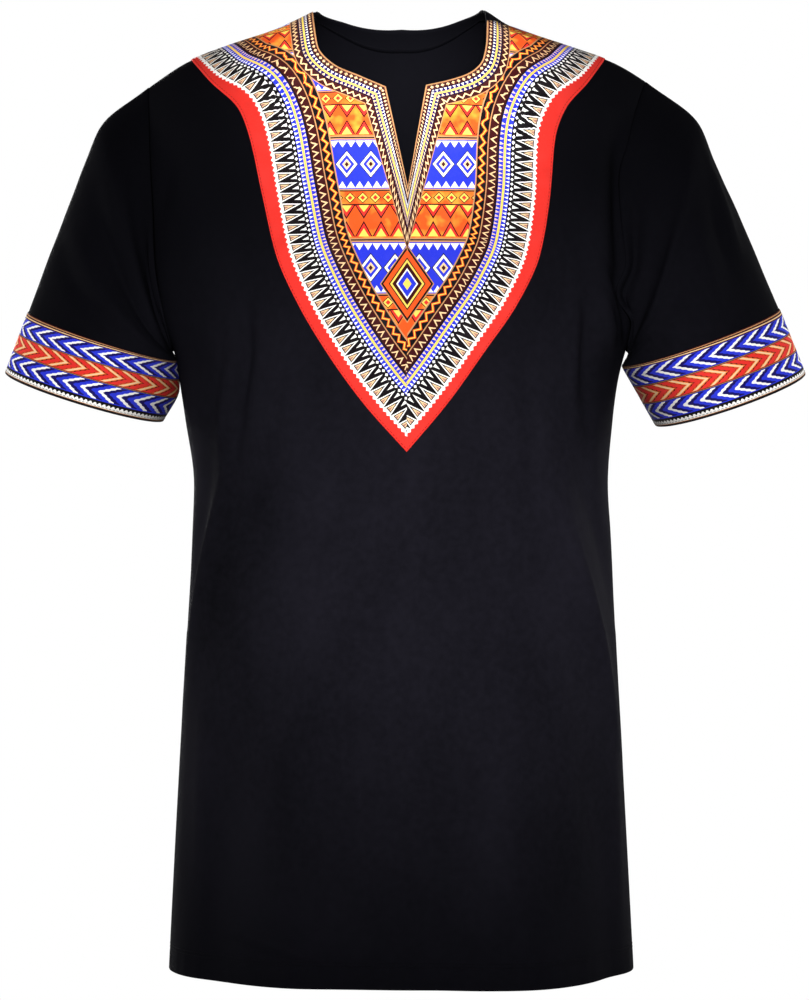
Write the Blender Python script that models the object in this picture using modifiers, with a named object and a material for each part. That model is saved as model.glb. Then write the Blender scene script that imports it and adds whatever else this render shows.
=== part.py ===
"""Long dashiki tunic, filled out as it is worn: two body panels, two short sleeves, a V yoke applied on the
chest, a band round each cuff and a facing inside the back neck.

Metres, +Z up. The front faces -Y and the wearer's left is at +X. The origin is between the two neck points,
at the height of the shoulder line's upper end.

Every panel is a grid of points on the cloth's middle surface, given a thickness with Solidify. A point of the
body is found from two coordinates: around, -1 to 1 from the right side seam over the middle to the left one,
and drop, 0 on the shoulder ridge, 1 at the underarm's level and 2 at the hem, with a minus sign behind.
"""
from bisect import bisect_right
from collections import namedtuple
from math import acos, asin, cos, exp, hypot, pi, sin

import bmesh
import bpy
from mathutils import Vector

# Cloth
CLOTH = 0.0012  # thickness of the jersey wall
APPLIED = 0.0010  # thickness of the yoke, the bands and the facing
GAP = 0.0003  # between pieces that touch
SEAM_SLOT = 0.0007  # between the middle surfaces of two panels at a seam

# Heights
UNDERARM_Z = -0.306
HEM_Z = -0.861
HEM_TILT = 0.012  # the hem's fall towards the wearer's left, over its width
WAIST_ROW = 1.50  # drop at the middle of the row that runs from underarm to underarm
SIDE_HOLD = 4  # power by which a row's sides lose their hold towards its middle
SKIRT_SPACING = 1.25  # over 1, the rows are closer together under the arms

# Cells of the grids
YOKE_CELLS = 6  # from the neckline to the yoke's outer edge
SHOULDER_CELLS = 2  # from the yoke's edge to the shoulder tip
ARMHOLE_CELLS = 12  # from the shoulder tip to the underarm, in front and again behind
SKIRT_CELLS = 11  # from the underarm to the hem
NECK_COLUMNS = 12  # half of the neckline, up to the slit's corner
SLIT_COLUMNS = 6  # one side of the slit
BACK_COLUMNS = 28
FACING_CELLS = 1  # of the shoulder seam's cells, from the back neckline to the facing's lower edge
BAND_CELLS = 2  # across a sleeve band
FINE_STEPS = 48  # along a path before it is cut into cells

# The body's plan is this power's superellipse, a little squarer than an ellipse.
PLAN_POWER = 2.3
BACK_FULLNESS = 0.78  # under 1, the upper back fills out sooner than the chest
FOLD_START = 3.0  # a fold that runs to the hem reaches its full height over 1 / 3 of its length
FOLD_ENDS = 0.5  # power that rounds the two ends of any other fold
TURN_BESIDE = 0.6  # power by which a sleeve that turns back moves beside its seam

RidgePoint = namedtuple("RidgePoint", "out right left")
SHOULDER_RIDGE = [
    RidgePoint(*row)
    for row in (
        # out    right    left height
        (0.000, 0.0120, 0.0120),
        (0.050, 0.0080, 0.0080),
        (0.074, 0.0000, 0.0000),
        (0.094, -0.0095, -0.0125),
        (0.113, -0.0180, -0.0205),
        (0.155, -0.0320, -0.0345),
        (0.190, -0.0455, -0.0470),
        (0.2265, -0.0690, -0.0690),
        (0.270, -0.1010, -0.1020),
    )
]

# How far in front of the ridge the shoulder seams lie, as a drop.
SeamPoint = namedtuple("SeamPoint", "out right left")
SHOULDER_SEAM = [
    SeamPoint(*row)
    for row in (
        # out   right  left
        (0.070, 0.050, 0.220),
        (0.091, 0.040, 0.115),
        (0.110, 0.030, 0.050),
        (0.150, 0.025, 0.025),
        (0.2265, 0.000, 0.000),
    )
]

# Above the underarm: where the armhole seams lie, and how far the chest's curve would reach without them.
ChestRow = namedtuple("ChestRow", "drop right_seam right_reach left_seam left_reach")
CHEST_ROWS = [
    ChestRow(*row)
    for row in (
        # drop  right seam, reach   left seam, reach
        (0.00, 0.2265, 0.2400, 0.2200, 0.2380),
        (0.20, 0.2260, 0.2410, 0.2160, 0.2360),
        (0.40, 0.2240, 0.2410, 0.2080, 0.2330),
        (0.60, 0.2210, 0.2370, 0.2000, 0.2290),
        (0.80, 0.2170, 0.2300, 0.1985, 0.2230),
        (0.92, 0.2110, 0.2180, 0.2010, 0.2110),
        (1.00, 0.2040, 0.2040, 0.2010, 0.2010),
    )
]

# Below the underarm: half widths and depths of the body.
BodyRow = namedtuple("BodyRow", "height right left")
BODY_ROWS = [
    BodyRow(*row)
    for row in (
        # height  right    left
        (-0.306, 0.2040, 0.2010),
        (-0.318, 0.2010, 0.1975),
        (-0.336, 0.1985, 0.1935),
        (-0.366, 0.1940, 0.1895),
        (-0.426, 0.1860, 0.1850),
        (-0.470, 0.1875, 0.1875),
        (-0.577, 0.1935, 0.1930),
        (-0.750, 0.2030, 0.2022),
        (-0.861, 0.2085, 0.2080),
    )
]
DepthRow = namedtuple("DepthRow", "height front back")
DEPTH_ROWS = [
    DepthRow(*row)
    for row in (
        # height  front   back
        (0.012, 0.1250, 0.1180),
        (-0.306, 0.1250, 0.1180),
        (-0.440, 0.1205, 0.1080),
        (-0.620, 0.1230, 0.1130),
        (-0.861, 0.1300, 0.1250),
    )
]

# Points of the cut edges, seen from the front.
EdgePoint = namedtuple("EdgePoint", "x z")
RIGHT_NECK_OUT = 0.0790  # the neckline's ends on the shoulder seams
LEFT_NECK_OUT = 0.0757
RIGHT_NECK = [
    EdgePoint(*row)
    for row in (
        (-0.0765, -0.0220),
        (-0.0730, -0.0410),
        (-0.0575, -0.0585),
        (-0.0360, -0.0685),
        (-0.0136, -0.0785),
    )
]
LEFT_NECK = [
    EdgePoint(*row)
    for row in (
        (0.0214, -0.0770),
        (0.0440, -0.0715),
        (0.0610, -0.0645),
        (0.0715, -0.0520),
        (0.0750, -0.0320),
    )
]
SLIT_TIP = EdgePoint(0.0056, -0.1680)
YOKE_TIP = EdgePoint(0.0046, -0.3980)
RIGHT_YOKE_OUT = 0.1890  # the yoke's ends on the shoulder seams
LEFT_YOKE_OUT = 0.1830
RIGHT_YOKE = [
    EdgePoint(*row)
    for row in (
        (-0.1685, -0.0700),
        (-0.1430, -0.0960),
        (-0.1325, -0.1230),
        (-0.1210, -0.1750),
        (-0.1090, -0.2260),
        (-0.0900, -0.2690),
        (-0.0640, -0.3130),
        (-0.0330, -0.3560),
    )
]
LEFT_YOKE = [
    EdgePoint(*row)
    for row in (
        (0.1650, -0.0700),
        (0.1440, -0.0960),
        (0.1345, -0.1230),
        (0.1295, -0.1750),
        (0.1205, -0.2260),
        (0.1010, -0.2690),
        (0.0710, -0.3130),
        (0.0400, -0.3560),
    )
]
BACK_NECK_DIP = 0.0110  # the back neckline's middle below the neck points
FACING_DEPTH = 0.0190

# Folds: soft ridges (height over 0) and troughs along a line on the body, from its upper end to its lower.
Fold = namedtuple("Fold", "around_top top around_bottom bottom width height")
FRONT_FOLDS = [
    Fold(*row)
    for row in (
        # around, z at the top   around, z at the foot   width  height
        (-0.42, -0.225, -0.52, -0.430, 0.018, -0.0050),
        (-0.50, -0.270, -0.76, -0.560, 0.024, 0.0050),
        (0.41, -0.230, 0.45, -0.480, 0.018, -0.0045),
        (0.58, -0.270, 0.86, -0.640, 0.026, 0.0055),
        (-0.22, -0.480, -0.30, -0.861, 0.034, 0.0050),
        (0.02, -0.560, 0.10, -0.861, 0.030, -0.0050),
        (0.30, -0.520, 0.40, -0.861, 0.034, 0.0055),
        (-0.52, -0.560, -0.58, -0.861, 0.030, -0.0045),
        (0.66, -0.640, 0.72, -0.861, 0.030, -0.0045),
    )
]
BACK_FOLDS = [
    Fold(*row)
    for row in (
        # around, z at the top   around, z at the foot   width  height
        (-0.48, -0.200, -0.66, -0.500, 0.024, 0.0050),
        (0.46, -0.210, 0.62, -0.520, 0.026, 0.0055),
        (-0.30, -0.330, -0.34, -0.861, 0.034, -0.0055),
        (-0.06, -0.420, -0.02, -0.861, 0.032, 0.0060),
        (0.26, -0.360, 0.32, -0.861, 0.032, -0.0050),
        (-0.60, -0.560, -0.66, -0.861, 0.030, 0.0045),
        (0.60, -0.600, 0.64, -0.861, 0.030, 0.0045),
    )
]

# Sections of a sleeve after its armhole. Each is a ring through an upper and an under point, seen from the
# front, with a depth in front and behind, and a dip of its front edge below the line between the two points.
Section = namedtuple("Section", "along top_x top_z under_x under_z front back dip")
RIGHT_SLEEVE = [
    Section(*row)
    for row in (
        # along  top x, z          under x, z        front   back    dip
        (0.18, 0.2685, -0.1025, 0.2075, -0.3085, 0.0590, 0.0590, 0.002),
        (0.30, 0.2830, -0.1350, 0.2085, -0.3105, 0.0620, 0.0610, 0.004),
        (0.55, 0.3085, -0.2010, 0.2085, -0.3140, 0.0610, 0.0600, 0.006),
        (0.80, 0.3350, -0.2710, 0.2080, -0.3190, 0.0575, 0.0570, 0.007),
        (0.90, 0.3450, -0.2975, 0.2095, -0.3420, 0.0560, 0.0555, 0.007),
        (1.00, 0.3550, -0.3245, 0.2150, -0.3675, 0.0545, 0.0540, 0.008),
    )
]
LEFT_SLEEVE = [
    Section(*row)
    for row in (
        # along  top x, z          under x, z        front   back    dip
        (0.18, 0.2665, -0.1015, 0.2050, -0.3085, 0.0600, 0.0590, 0.002),
        (0.30, 0.2810, -0.1350, 0.2055, -0.3105, 0.0625, 0.0610, 0.004),
        (0.55, 0.3070, -0.1930, 0.2065, -0.3140, 0.0610, 0.0600, 0.006),
        (0.80, 0.3390, -0.2680, 0.2080, -0.3200, 0.0575, 0.0570, 0.008),
        (0.90, 0.3505, -0.2970, 0.2175, -0.3440, 0.0560, 0.0555, 0.008),
        (1.00, 0.3620, -0.3255, 0.2290, -0.3715, 0.0545, 0.0540, 0.009),
    )
]
SLEEVE_ROWS = (0.00, 0.08, 0.17, 0.27, 0.41, 0.60, 0.80)  # rings above the band

JERSEY_BLACK = (0.008, 0.008, 0.011, 1.0)
PRINT_RED = (0.72, 0.06, 0.03, 1.0)
PRINT_BLUE = (0.04, 0.05, 0.60, 1.0)


def curve_through(places, values):
    """A smooth function through the values that never overshoots them, flat beyond its ends."""
    steps = [b - a for a, b in zip(places, places[1:])]
    rates = [(b - a) / step for a, b, step in zip(values, values[1:], steps)]
    slopes = [rates[0]]
    for before, after in zip(rates, rates[1:]):
        same_way = before * after > 0
        slopes.append(2 * before * after / (before + after) if same_way else 0.0)
    slopes.append(rates[-1])

    def value(place):
        place = min(max(place, places[0]), places[-1])
        i = min(bisect_right(places, place), len(steps)) - 1
        t = (place - places[i]) / steps[i]
        start = values[i] * (1 + 2 * t) * (1 - t) ** 2 + slopes[i] * steps[i] * t * (1 - t) ** 2
        end = values[i + 1] * t * t * (3 - 2 * t) + slopes[i + 1] * steps[i] * t * t * (t - 1)
        return start + end

    return value


def column_curve(rows, place, value):
    """A smooth function of one of a table's columns by another, whose values may rise or fall."""
    ordered = sorted(rows, key=lambda row: getattr(row, place))
    places = [getattr(row, place) for row in ordered]
    return curve_through(places, [getattr(row, value) for row in ordered])


ridge_curve = {
    "right": column_curve(SHOULDER_RIDGE, "out", "right"),
    "left": column_curve(SHOULDER_RIDGE, "out", "left"),
}
front_depth = column_curve(DEPTH_ROWS, "height", "front")
back_depth = column_curve(DEPTH_ROWS, "height", "back")
chest_reach = {
    "right": column_curve(CHEST_ROWS, "drop", "right_reach"),
    "left": column_curve(CHEST_ROWS, "drop", "left_reach"),
}
armhole_seam = {
    "right": column_curve(CHEST_ROWS, "drop", "right_seam"),
    "left": column_curve(CHEST_ROWS, "drop", "left_seam"),
}
shoulder_seam = {
    "right": column_curve(SHOULDER_SEAM, "out", "right"),
    "left": column_curve(SHOULDER_SEAM, "out", "left"),
}
body_reach = {
    "right": column_curve(BODY_ROWS, "height", "right"),
    "left": column_curve(BODY_ROWS, "height", "left"),
}
QUARTER_GIRTH = 0.27  # cloth from the middle to a side seam


def side_of(x):
    return "left" if x > 0 else "right"


def ridge_height(x):
    return ridge_curve[side_of(x)](abs(x))


def reach_at(side, drop):
    """Half width of the body's plan on one side."""
    if drop <= 1:
        return chest_reach[side](drop)
    return body_reach[side](UNDERARM_Z + (HEM_Z - UNDERARM_Z) * (drop - 1))


def fold_height(folds, around, z):
    """How far the folds move the cloth out at a point."""
    total = 0.0
    for fold in folds:
        length = fold.top - fold.bottom
        down = (fold.top - z) / length
        along = min(max(down, 0.0), 1.0)
        middle = fold.around_top + (fold.around_bottom - fold.around_top) * along
        across = (around - middle) * QUARTER_GIRTH / fold.width
        past = (down - along) * length / fold.width
        rise = min(1.0, along * FOLD_START) if fold.bottom <= HEM_Z else sin(pi * along) ** FOLD_ENDS
        total += fold.height * rise * exp(-across * across - past * past)
    return total


def body_point(around, drop):
    """The point of the cloth's middle surface at these two coordinates."""
    down = abs(drop)
    behind = drop < 0
    span = sin(around * pi / 2)
    reach = reach_at(side_of(around), down)
    x = reach * span
    fill = 1.0
    if down <= 1:
        z = UNDERARM_Z + (ridge_height(x) - UNDERARM_Z) * cos(down * pi / 2)
        fill = sin(down * pi / 2) ** (BACK_FULLNESS if behind else 1.0)
    else:
        z = UNDERARM_Z + (HEM_Z - UNDERARM_Z - HEM_TILT * x) * (down - 1)
    plan = max(0.0, 1 - abs(span) ** PLAN_POWER) ** (1 / PLAN_POWER)
    depth = (back_depth if behind else front_depth)(z)
    way = 1 if behind else -1
    out = Vector((x / reach**2, way * depth * plan * fill / depth**2, 0.0))
    out.normalize()
    lift = fold_height(BACK_FOLDS if behind else FRONT_FOLDS, around, z)
    return Vector((x, way * depth * plan * fill, z)) + out * lift


def place_of(x, z):
    """The two coordinates of the front's point that is seen at x and z."""
    side = side_of(x)
    if z >= UNDERARM_Z:
        rise = (z - UNDERARM_Z) / (ridge_height(x) - UNDERARM_Z)
        drop = acos(min(1.0, rise)) / (pi / 2)
    else:
        drop = 1 + (UNDERARM_Z - z) / (UNDERARM_Z - HEM_Z)
    return (asin(max(-1.0, min(1.0, x / reach_at(side, drop)))) / (pi / 2), drop)


def smooth_line(points, steps=8):
    """Points along a smooth line through the given ones, as (x, z)."""
    lengths = [0.0]
    for a, b in zip(points, points[1:]):
        lengths.append(lengths[-1] + hypot(b[0] - a[0], b[1] - a[1]))
    across = curve_through(lengths, [p[0] for p in points])
    up = curve_through(lengths, [p[1] for p in points])
    count = steps * (len(points) - 1)
    return [(across(lengths[-1] * i / count), up(lengths[-1] * i / count)) for i in range(count + 1)]


def seam_place(x):
    """The place of the shoulder seam at a distance from the middle."""
    side = side_of(x)
    drop = shoulder_seam[side](abs(x))
    return (asin(x / chest_reach[side](drop)) / (pi / 2), drop)


def respaced(places, cells):
    """The same path over the body with its places an equal length of cloth apart."""
    points = [body_point(*place) for place in places]
    lengths = [0.0]
    for a, b in zip(points, points[1:]):
        lengths.append(lengths[-1] + (b - a).length)
    result = []
    for i in range(cells + 1):
        wanted = lengths[-1] * i / cells
        at = min(bisect_right(lengths, wanted), len(lengths) - 1)
        part = (wanted - lengths[at - 1]) / (lengths[at] - lengths[at - 1])
        start, end = places[at - 1], places[at]
        result.append(tuple(a + (b - a) * part for a, b in zip(start, end)))
    return result


def joined(*paths):
    """Paths end to end, without their shared places twice."""
    result = list(paths[0])
    for path in paths[1:]:
        result += path[1:]
    return result


def edge_path(points, cells, start=None, end=None):
    """An edge that is given as seen from the front, as evenly spaced places on the body. It may start or end
    on a shoulder seam, at a distance from the middle."""
    points = list(points)
    if start is not None:
        first = body_point(*seam_place(start))
        points.insert(0, EdgePoint(first.x, first.z))
    if end is not None:
        last = body_point(*seam_place(end))
        points.append(EdgePoint(last.x, last.z))
    places = [place_of(x, z) for x, z in smooth_line(points)]
    if start is not None:
        places[0] = seam_place(start)
    if end is not None:
        places[-1] = seam_place(end)
    return respaced(places, cells)


def armhole_path(side, face):
    """Places down an armhole's front (face 1) or back (face -1), from the shoulder tip to the underarm."""
    way = 1 if side == "left" else -1
    places = []
    for i in range(FINE_STEPS + 1):
        drop = i / FINE_STEPS
        share = armhole_seam[side](drop) / chest_reach[side](drop)
        places.append((way * asin(min(1.0, share)) / (pi / 2), face * drop))
    return respaced(places, ARMHOLE_CELLS)


def shoulder_path(start, end, cells):
    """Places along the shoulder seam between two distances from the middle."""
    steps = range(FINE_STEPS + 1)
    return respaced([seam_place(start + (end - start) * i / FINE_STEPS) for i in steps], cells)


def patch(first, last, right, left):
    """Rows of places from a first to a last row, bent at their ends to meet the two sides."""
    rows = len(right) - 1
    columns = len(first) - 1
    grid = []
    for r in range(rows + 1):
        v = r / rows
        row = []
        for c in range(columns + 1):
            u = c / columns
            place = []
            for k in (0, 1):
                straight = (1 - v) * first[c][k] + v * last[c][k]
                right_bend = right[r][k] - (1 - v) * first[0][k] - v * last[0][k]
                left_bend = left[r][k] - (1 - v) * first[-1][k] - v * last[-1][k]
                place.append(straight + (1 - u) ** SIDE_HOLD * right_bend + u**SIDE_HOLD * left_bend)
            row.append(tuple(place))
        grid.append(row)
    return grid


def underarm_row(columns, face):
    """The row that starts at one underarm, dips to the waist in the middle and ends at the other."""
    row = []
    for c in range(columns + 1):
        around = -1 + 2 * c / columns
        row.append((around, face * (1 + (WAIST_ROW - 1) * cos(around * pi / 2))))
    return row


def skirt(first, columns, face):
    """Rows from the underarms down to the hem."""
    hem = [(-1 + 2 * c / columns, face * 2.0) for c in range(columns + 1)]
    down = [(r / SKIRT_CELLS) ** SKIRT_SPACING for r in range(SKIRT_CELLS + 1)]
    right = [(-1.0, face * (1 + d)) for d in down]
    left = [(1.0, face * (1 + d)) for d in down]
    return patch(first, hem, right, left)


def between(first, last, cells):
    """Rows evenly spaced from one row of places to another."""
    rows = []
    for r in range(cells + 1):
        part = r / cells
        rows.append([tuple(a + (b - a) * part for a, b in zip(*pair)) for pair in zip(first, last)])
    return rows


def side_edge(side, face):
    """A panel's edge from the neckline over the shoulder seam and down the armhole to the underarm."""
    way = 1 if side == "left" else -1
    neck = LEFT_NECK_OUT if side == "left" else RIGHT_NECK_OUT
    yoke = LEFT_YOKE_OUT if side == "left" else RIGHT_YOKE_OUT
    return joined(
        shoulder_path(way * neck, way * yoke, YOKE_CELLS),
        shoulder_path(way * yoke, way * armhole_seam[side](0.0), SHOULDER_CELLS),
        armhole_path(side, face),
    )


def front_places():
    """Rows of the front, from the neckline and slit to the hem."""
    neck = joined(
        edge_path(RIGHT_NECK, NECK_COLUMNS, start=-RIGHT_NECK_OUT),
        edge_path([RIGHT_NECK[-1], SLIT_TIP], SLIT_COLUMNS),
        edge_path([SLIT_TIP, LEFT_NECK[0]], SLIT_COLUMNS),
        edge_path(LEFT_NECK, NECK_COLUMNS, end=LEFT_NECK_OUT),
    )
    columns = len(neck) - 1
    outline = joined(
        edge_path(RIGHT_YOKE + [YOKE_TIP], columns // 2, start=-RIGHT_YOKE_OUT),
        edge_path([YOKE_TIP] + LEFT_YOKE[::-1], columns // 2, end=LEFT_YOKE_OUT),
    )
    yoke = between(neck, outline, YOKE_CELLS)
    right = side_edge("right", 1)
    left = side_edge("left", 1)
    for r, row in enumerate(yoke):
        row[0] = right[r]
        row[-1] = left[r]
    chest = patch(yoke[-1], underarm_row(columns, 1), right[YOKE_CELLS:], left[YOKE_CELLS:])
    return yoke + chest[1:] + skirt(chest[-1], columns, 1)[1:]


def back_neck_row(right_end, left_end, lower):
    """Places along the back neckline (0), or along a line at this distance from it down the back, between
    two places on the shoulder seams."""
    ends = (body_point(*right_end).x, body_point(*left_end).x)
    places = [right_end]
    for i in range(1, FINE_STEPS):
        t = -1 + 2 * i / FINE_STEPS
        x = t * (ends[1] if t > 0 else -ends[0])
        top = ridge_height(x)
        z = top - (BACK_NECK_DIP + ridge_height(0.0)) * (1 - t * t) - lower * cos(t * pi / 2)
        around, drop = place_of(x, z)
        places.append((around, -drop))
    places.append(left_end)
    return respaced(places, BACK_COLUMNS)


def back_places():
    """Rows of the back, from the neckline to the hem."""
    right = side_edge("right", -1)
    left = side_edge("left", -1)
    neck = back_neck_row(right[0], left[0], 0.0)
    facing = back_neck_row(right[FACING_CELLS], left[FACING_CELLS], FACING_DEPTH)
    upper = between(neck, facing, FACING_CELLS)
    below = patch(facing, underarm_row(BACK_COLUMNS, -1), right[FACING_CELLS:], left[FACING_CELLS:])
    return upper + below[1:] + skirt(below[-1], BACK_COLUMNS, -1)[1:]


def drawn_in(grid, distance):
    """The grid with its two side edges moved in over the cloth, square to the edge."""
    result = [list(row) for row in grid]
    for end, inner in ((0, 1), (-1, -2)):
        for r, row in enumerate(grid):
            above = grid[max(r - 1, 0)][end]
            below = grid[min(r + 1, len(grid) - 1)][end]
            along = (below - above).normalized()
            inward = row[inner] - row[end]
            inward -= along * inward.dot(along)
            result[r][end] = row[end] + inward.normalized() * distance
    return result


def grid_mesh(name, grid, closed=False, flipped=False):
    """A mesh of the grid's cells, each cut into two triangles in a set way, so that layers made from the same
    points stay parallel. A closed grid's rows are rings."""
    bm = bmesh.new()
    rows = [[bm.verts.new(point) for point in row] for row in grid]
    columns = len(grid[0])
    for upper, lower in zip(rows, rows[1:]):
        for c in range(columns if closed else columns - 1):
            after = (c + 1) % columns
            if c < columns / 2:
                halves = (
                    (upper[c], lower[c], upper[after]),
                    (lower[c], lower[after], upper[after]),
                )
            else:
                halves = (
                    (upper[c], lower[c], lower[after]),
                    (upper[c], lower[after], upper[after]),
                )
            for corners in halves:
                bm.faces.new(corners[::-1] if flipped else corners)
    mesh = bpy.data.meshes.new(name)
    bm.normal_update()
    bm.to_mesh(mesh)
    bm.free()
    return mesh


def moved_out(grid, distance, closed=False, flipped=False):
    """The grid's points moved square to the cloth; a negative distance moves them in."""
    mesh = grid_mesh("scratch", grid, closed, flipped)
    columns = len(grid[0])
    moved = [vertex.co + vertex.normal * distance for vertex in mesh.vertices]
    bpy.data.meshes.remove(mesh)
    return [moved[r * columns : (r + 1) * columns] for r in range(len(grid))]


def cloth(name, grid, thickness, offset, material, collection, closed=False, flipped=False):
    """A piece of cloth: the grid's surface with a thickness, centred on it (0), outside (1) or inside (-1)."""
    mesh = grid_mesh(name, grid, closed, flipped)
    mesh.materials.append(material)
    mesh.shade_smooth()
    piece = bpy.data.objects.new(name, mesh)
    collection.objects.link(piece)
    wall = piece.modifiers.new("Wall", "SOLIDIFY")
    wall.thickness = thickness
    wall.offset = offset
    return piece


def sleeve_rings(side, sections, front, back):
    """Rings of a sleeve's middle surface, from its armhole to its cuff. A ring starts on top and runs down
    the front and up the back."""
    way = 1 if side == "left" else -1
    end = -1 if side == "left" else 0
    inner = -2 if side == "left" else 1
    down = [(row[end], row[end] - row[inner]) for row in front]
    up = [(row[end], row[end] - row[inner]) for row in back[-2:0:-1]]
    seam = down + up
    lengths = [0.0]
    for (a, _), (b, _) in zip(seam, seam[1:] + seam[:1]):
        lengths.append(lengths[-1] + (b - a).length)
    half = lengths[ARMHOLE_CELLS]
    turns = [
        pi * at / half if at <= half else pi + pi * (at - half) / (lengths[-1] - half) for at in lengths[:-1]
    ]
    rings = []
    for row in sections:
        top = Vector((way * row.top_x, 0.0, row.top_z))
        under = Vector((way * row.under_x, 0.0, row.under_z))
        ring = []
        for turn in turns:
            depth = row.front if turn < pi else row.back
            forward = Vector((0.0, -depth * sin(turn), -row.dip * sin(turn)))
            ring.append((top + under) / 2 + (top - under) / 2 * cos(turn) + forward)
        rings.append(ring)
    along = [0.0] + [row.along for row in sections]
    edge = SLEEVE_ROWS[-1]
    wanted = list(SLEEVE_ROWS) + [edge + (1 - edge) * i / BAND_CELLS for i in range(1, BAND_CELLS + 1)]
    columns = []
    for i, (point, outward) in enumerate(seam):
        start = seam_start(point, outward, rings[0][i], Vector((way, 0.0, 0.0)))
        path = [start] + [ring[i] for ring in rings]
        smooth = [curve_through(along, [p[k] for p in path]) for k in range(3)]
        columns.append([Vector([axis(t) for axis in smooth]) for t in wanted])
    return [list(ring) for ring in zip(*columns)]


def seam_start(point, outward, following, side):
    """Where a sleeve starts from a point of its armhole: just past it where the sleeve carries the body's
    surface on, and beside it where the sleeve folds back along the body."""
    outward = outward.normalized()
    turn = (1 - outward.dot((following - point).normalized())) / 2
    beside = turn**TURN_BESIDE
    return point + outward * SEAM_SLOT * (1 - beside) + side * (CLOTH + GAP) * beside


def body_grids():
    """The front's and the back's grids up to the seam lines."""
    front = [[body_point(*place) for place in row] for row in front_places()]
    back = [[body_point(*place) for place in row[::-1]] for row in back_places()]
    return front, back


def make_material(name, colour, roughness):
    material = bpy.data.materials.new(name)
    material.use_nodes = True
    surface = material.node_tree.nodes["Principled BSDF"]
    surface.inputs["Base Color"].default_value = colour
    surface.inputs["Roughness"].default_value = roughness
    surface.inputs["Metallic"].default_value = 0.0
    material.diffuse_color = colour
    return material


def build_body(front, back, black, print_red, collection):
    """The two body panels, the yoke on the front and the facing inside the back neck."""
    front_cut = drawn_in(front, SEAM_SLOT / 2)
    back_cut = drawn_in(back, SEAM_SLOT / 2)
    cloth("front", front_cut, CLOTH, 0, black, collection)
    cloth("back", back_cut, CLOTH, 0, black, collection)
    skin = moved_out(front_cut, CLOTH / 2 + GAP)[: YOKE_CELLS + 1]
    cloth("yoke", skin, APPLIED, 1, print_red, collection)
    lining = moved_out(back_cut, -CLOTH / 2 - GAP)[: FACING_CELLS + 1]
    cloth("neck_facing", lining, APPLIED, -1, black, collection)


def build_sleeve(side, sections, front, back, black, print_blue, collection):
    """One sleeve and the band round its cuff."""
    tip = YOKE_CELLS + SHOULDER_CELLS
    front_edge = front[tip : tip + ARMHOLE_CELLS + 1]
    back_edge = [row[::-1] for row in back[tip : tip + ARMHOLE_CELLS + 1]]
    rings = sleeve_rings(side, sections, front_edge, back_edge)
    flipped = side == "left"
    cloth("sleeve_" + side, rings, CLOTH, 0, black, collection, closed=True, flipped=flipped)
    outside = moved_out(rings, CLOTH / 2 + GAP, closed=True, flipped=flipped)
    band = outside[len(SLEEVE_ROWS) - 1 :]
    cloth("band_" + side, band, APPLIED, 1, print_blue, collection, closed=True, flipped=flipped)


def main():
    for old in list(bpy.data.objects):
        bpy.data.objects.remove(old)
    collection = bpy.data.collections.new("dashiki_tunic")
    bpy.context.scene.collection.children.link(collection)
    black = make_material("black_jersey", JERSEY_BLACK, 0.85)
    print_red = make_material("yoke_print", PRINT_RED, 0.6)
    print_blue = make_material("band_print", PRINT_BLUE, 0.6)
    front, back = body_grids()
    build_body(front, back, black, print_red, collection)
    build_sleeve("right", RIGHT_SLEEVE, front, back, black, print_blue, collection)
    build_sleeve("left", LEFT_SLEEVE, front, back, black, print_blue, collection)


if __name__ == "__main__":
    main()
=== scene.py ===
"""The looks of a long dashiki tunic, filled out as it is worn.

Metres, +Z up. The front faces -Y and the wearer's left is at +X. A place on the body's cloth is a pair:
around, -1 to 1 from the right side seam over the middle to the left one, and drop, 0 on the shoulder ridge,
1 at the underarm's level and 2 at the hem, with a minus sign behind. Texture coordinates are in millimetres.
"""
from __future__ import annotations

import logging
import math
from dataclasses import dataclass, field
from enum import Enum
from typing import Callable, NamedTuple, Sequence

import bpy
import numpy as np
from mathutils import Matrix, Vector

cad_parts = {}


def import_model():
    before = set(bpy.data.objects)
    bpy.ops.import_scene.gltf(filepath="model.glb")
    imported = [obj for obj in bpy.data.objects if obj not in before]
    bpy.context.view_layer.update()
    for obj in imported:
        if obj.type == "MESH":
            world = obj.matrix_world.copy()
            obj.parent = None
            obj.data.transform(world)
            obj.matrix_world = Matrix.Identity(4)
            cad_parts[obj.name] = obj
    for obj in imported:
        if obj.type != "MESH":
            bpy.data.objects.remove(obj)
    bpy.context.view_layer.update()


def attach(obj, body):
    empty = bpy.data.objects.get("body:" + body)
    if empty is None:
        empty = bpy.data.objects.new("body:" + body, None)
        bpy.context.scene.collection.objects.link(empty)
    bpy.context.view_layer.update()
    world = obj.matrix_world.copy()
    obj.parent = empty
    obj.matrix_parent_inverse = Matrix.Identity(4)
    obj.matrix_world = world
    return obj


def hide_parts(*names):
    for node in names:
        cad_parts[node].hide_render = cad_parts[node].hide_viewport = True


HALF_TURN = math.pi
QUARTER_TURN = math.pi / 2
QUARTERS = 4  # quarter turns in a whole one
MM = 1000.0  # millimetres in a metre
# where a cut edge rolls in at a seam: how far back from the edge, and how deep
SEAM_BEND = ((0.0007, 0.00003), (0.00025, 0.00025), (0.0, 0.0009))
BEND_LENGTHS = (0.5, 1.2)  # lengths of cloth over that bend, in millimetres
# how a hem's fold goes round: past the edge, as a share of half its gap, and in, as a share of the gap
HEM_BEND = ((0.7, 0.15), (1.0, 0.5), (0.7, 0.85))
MIX_UNDER, MIX_OVER, MIX_RESULT = 6, 7, 2  # sockets of the node that mixes two colours
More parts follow.
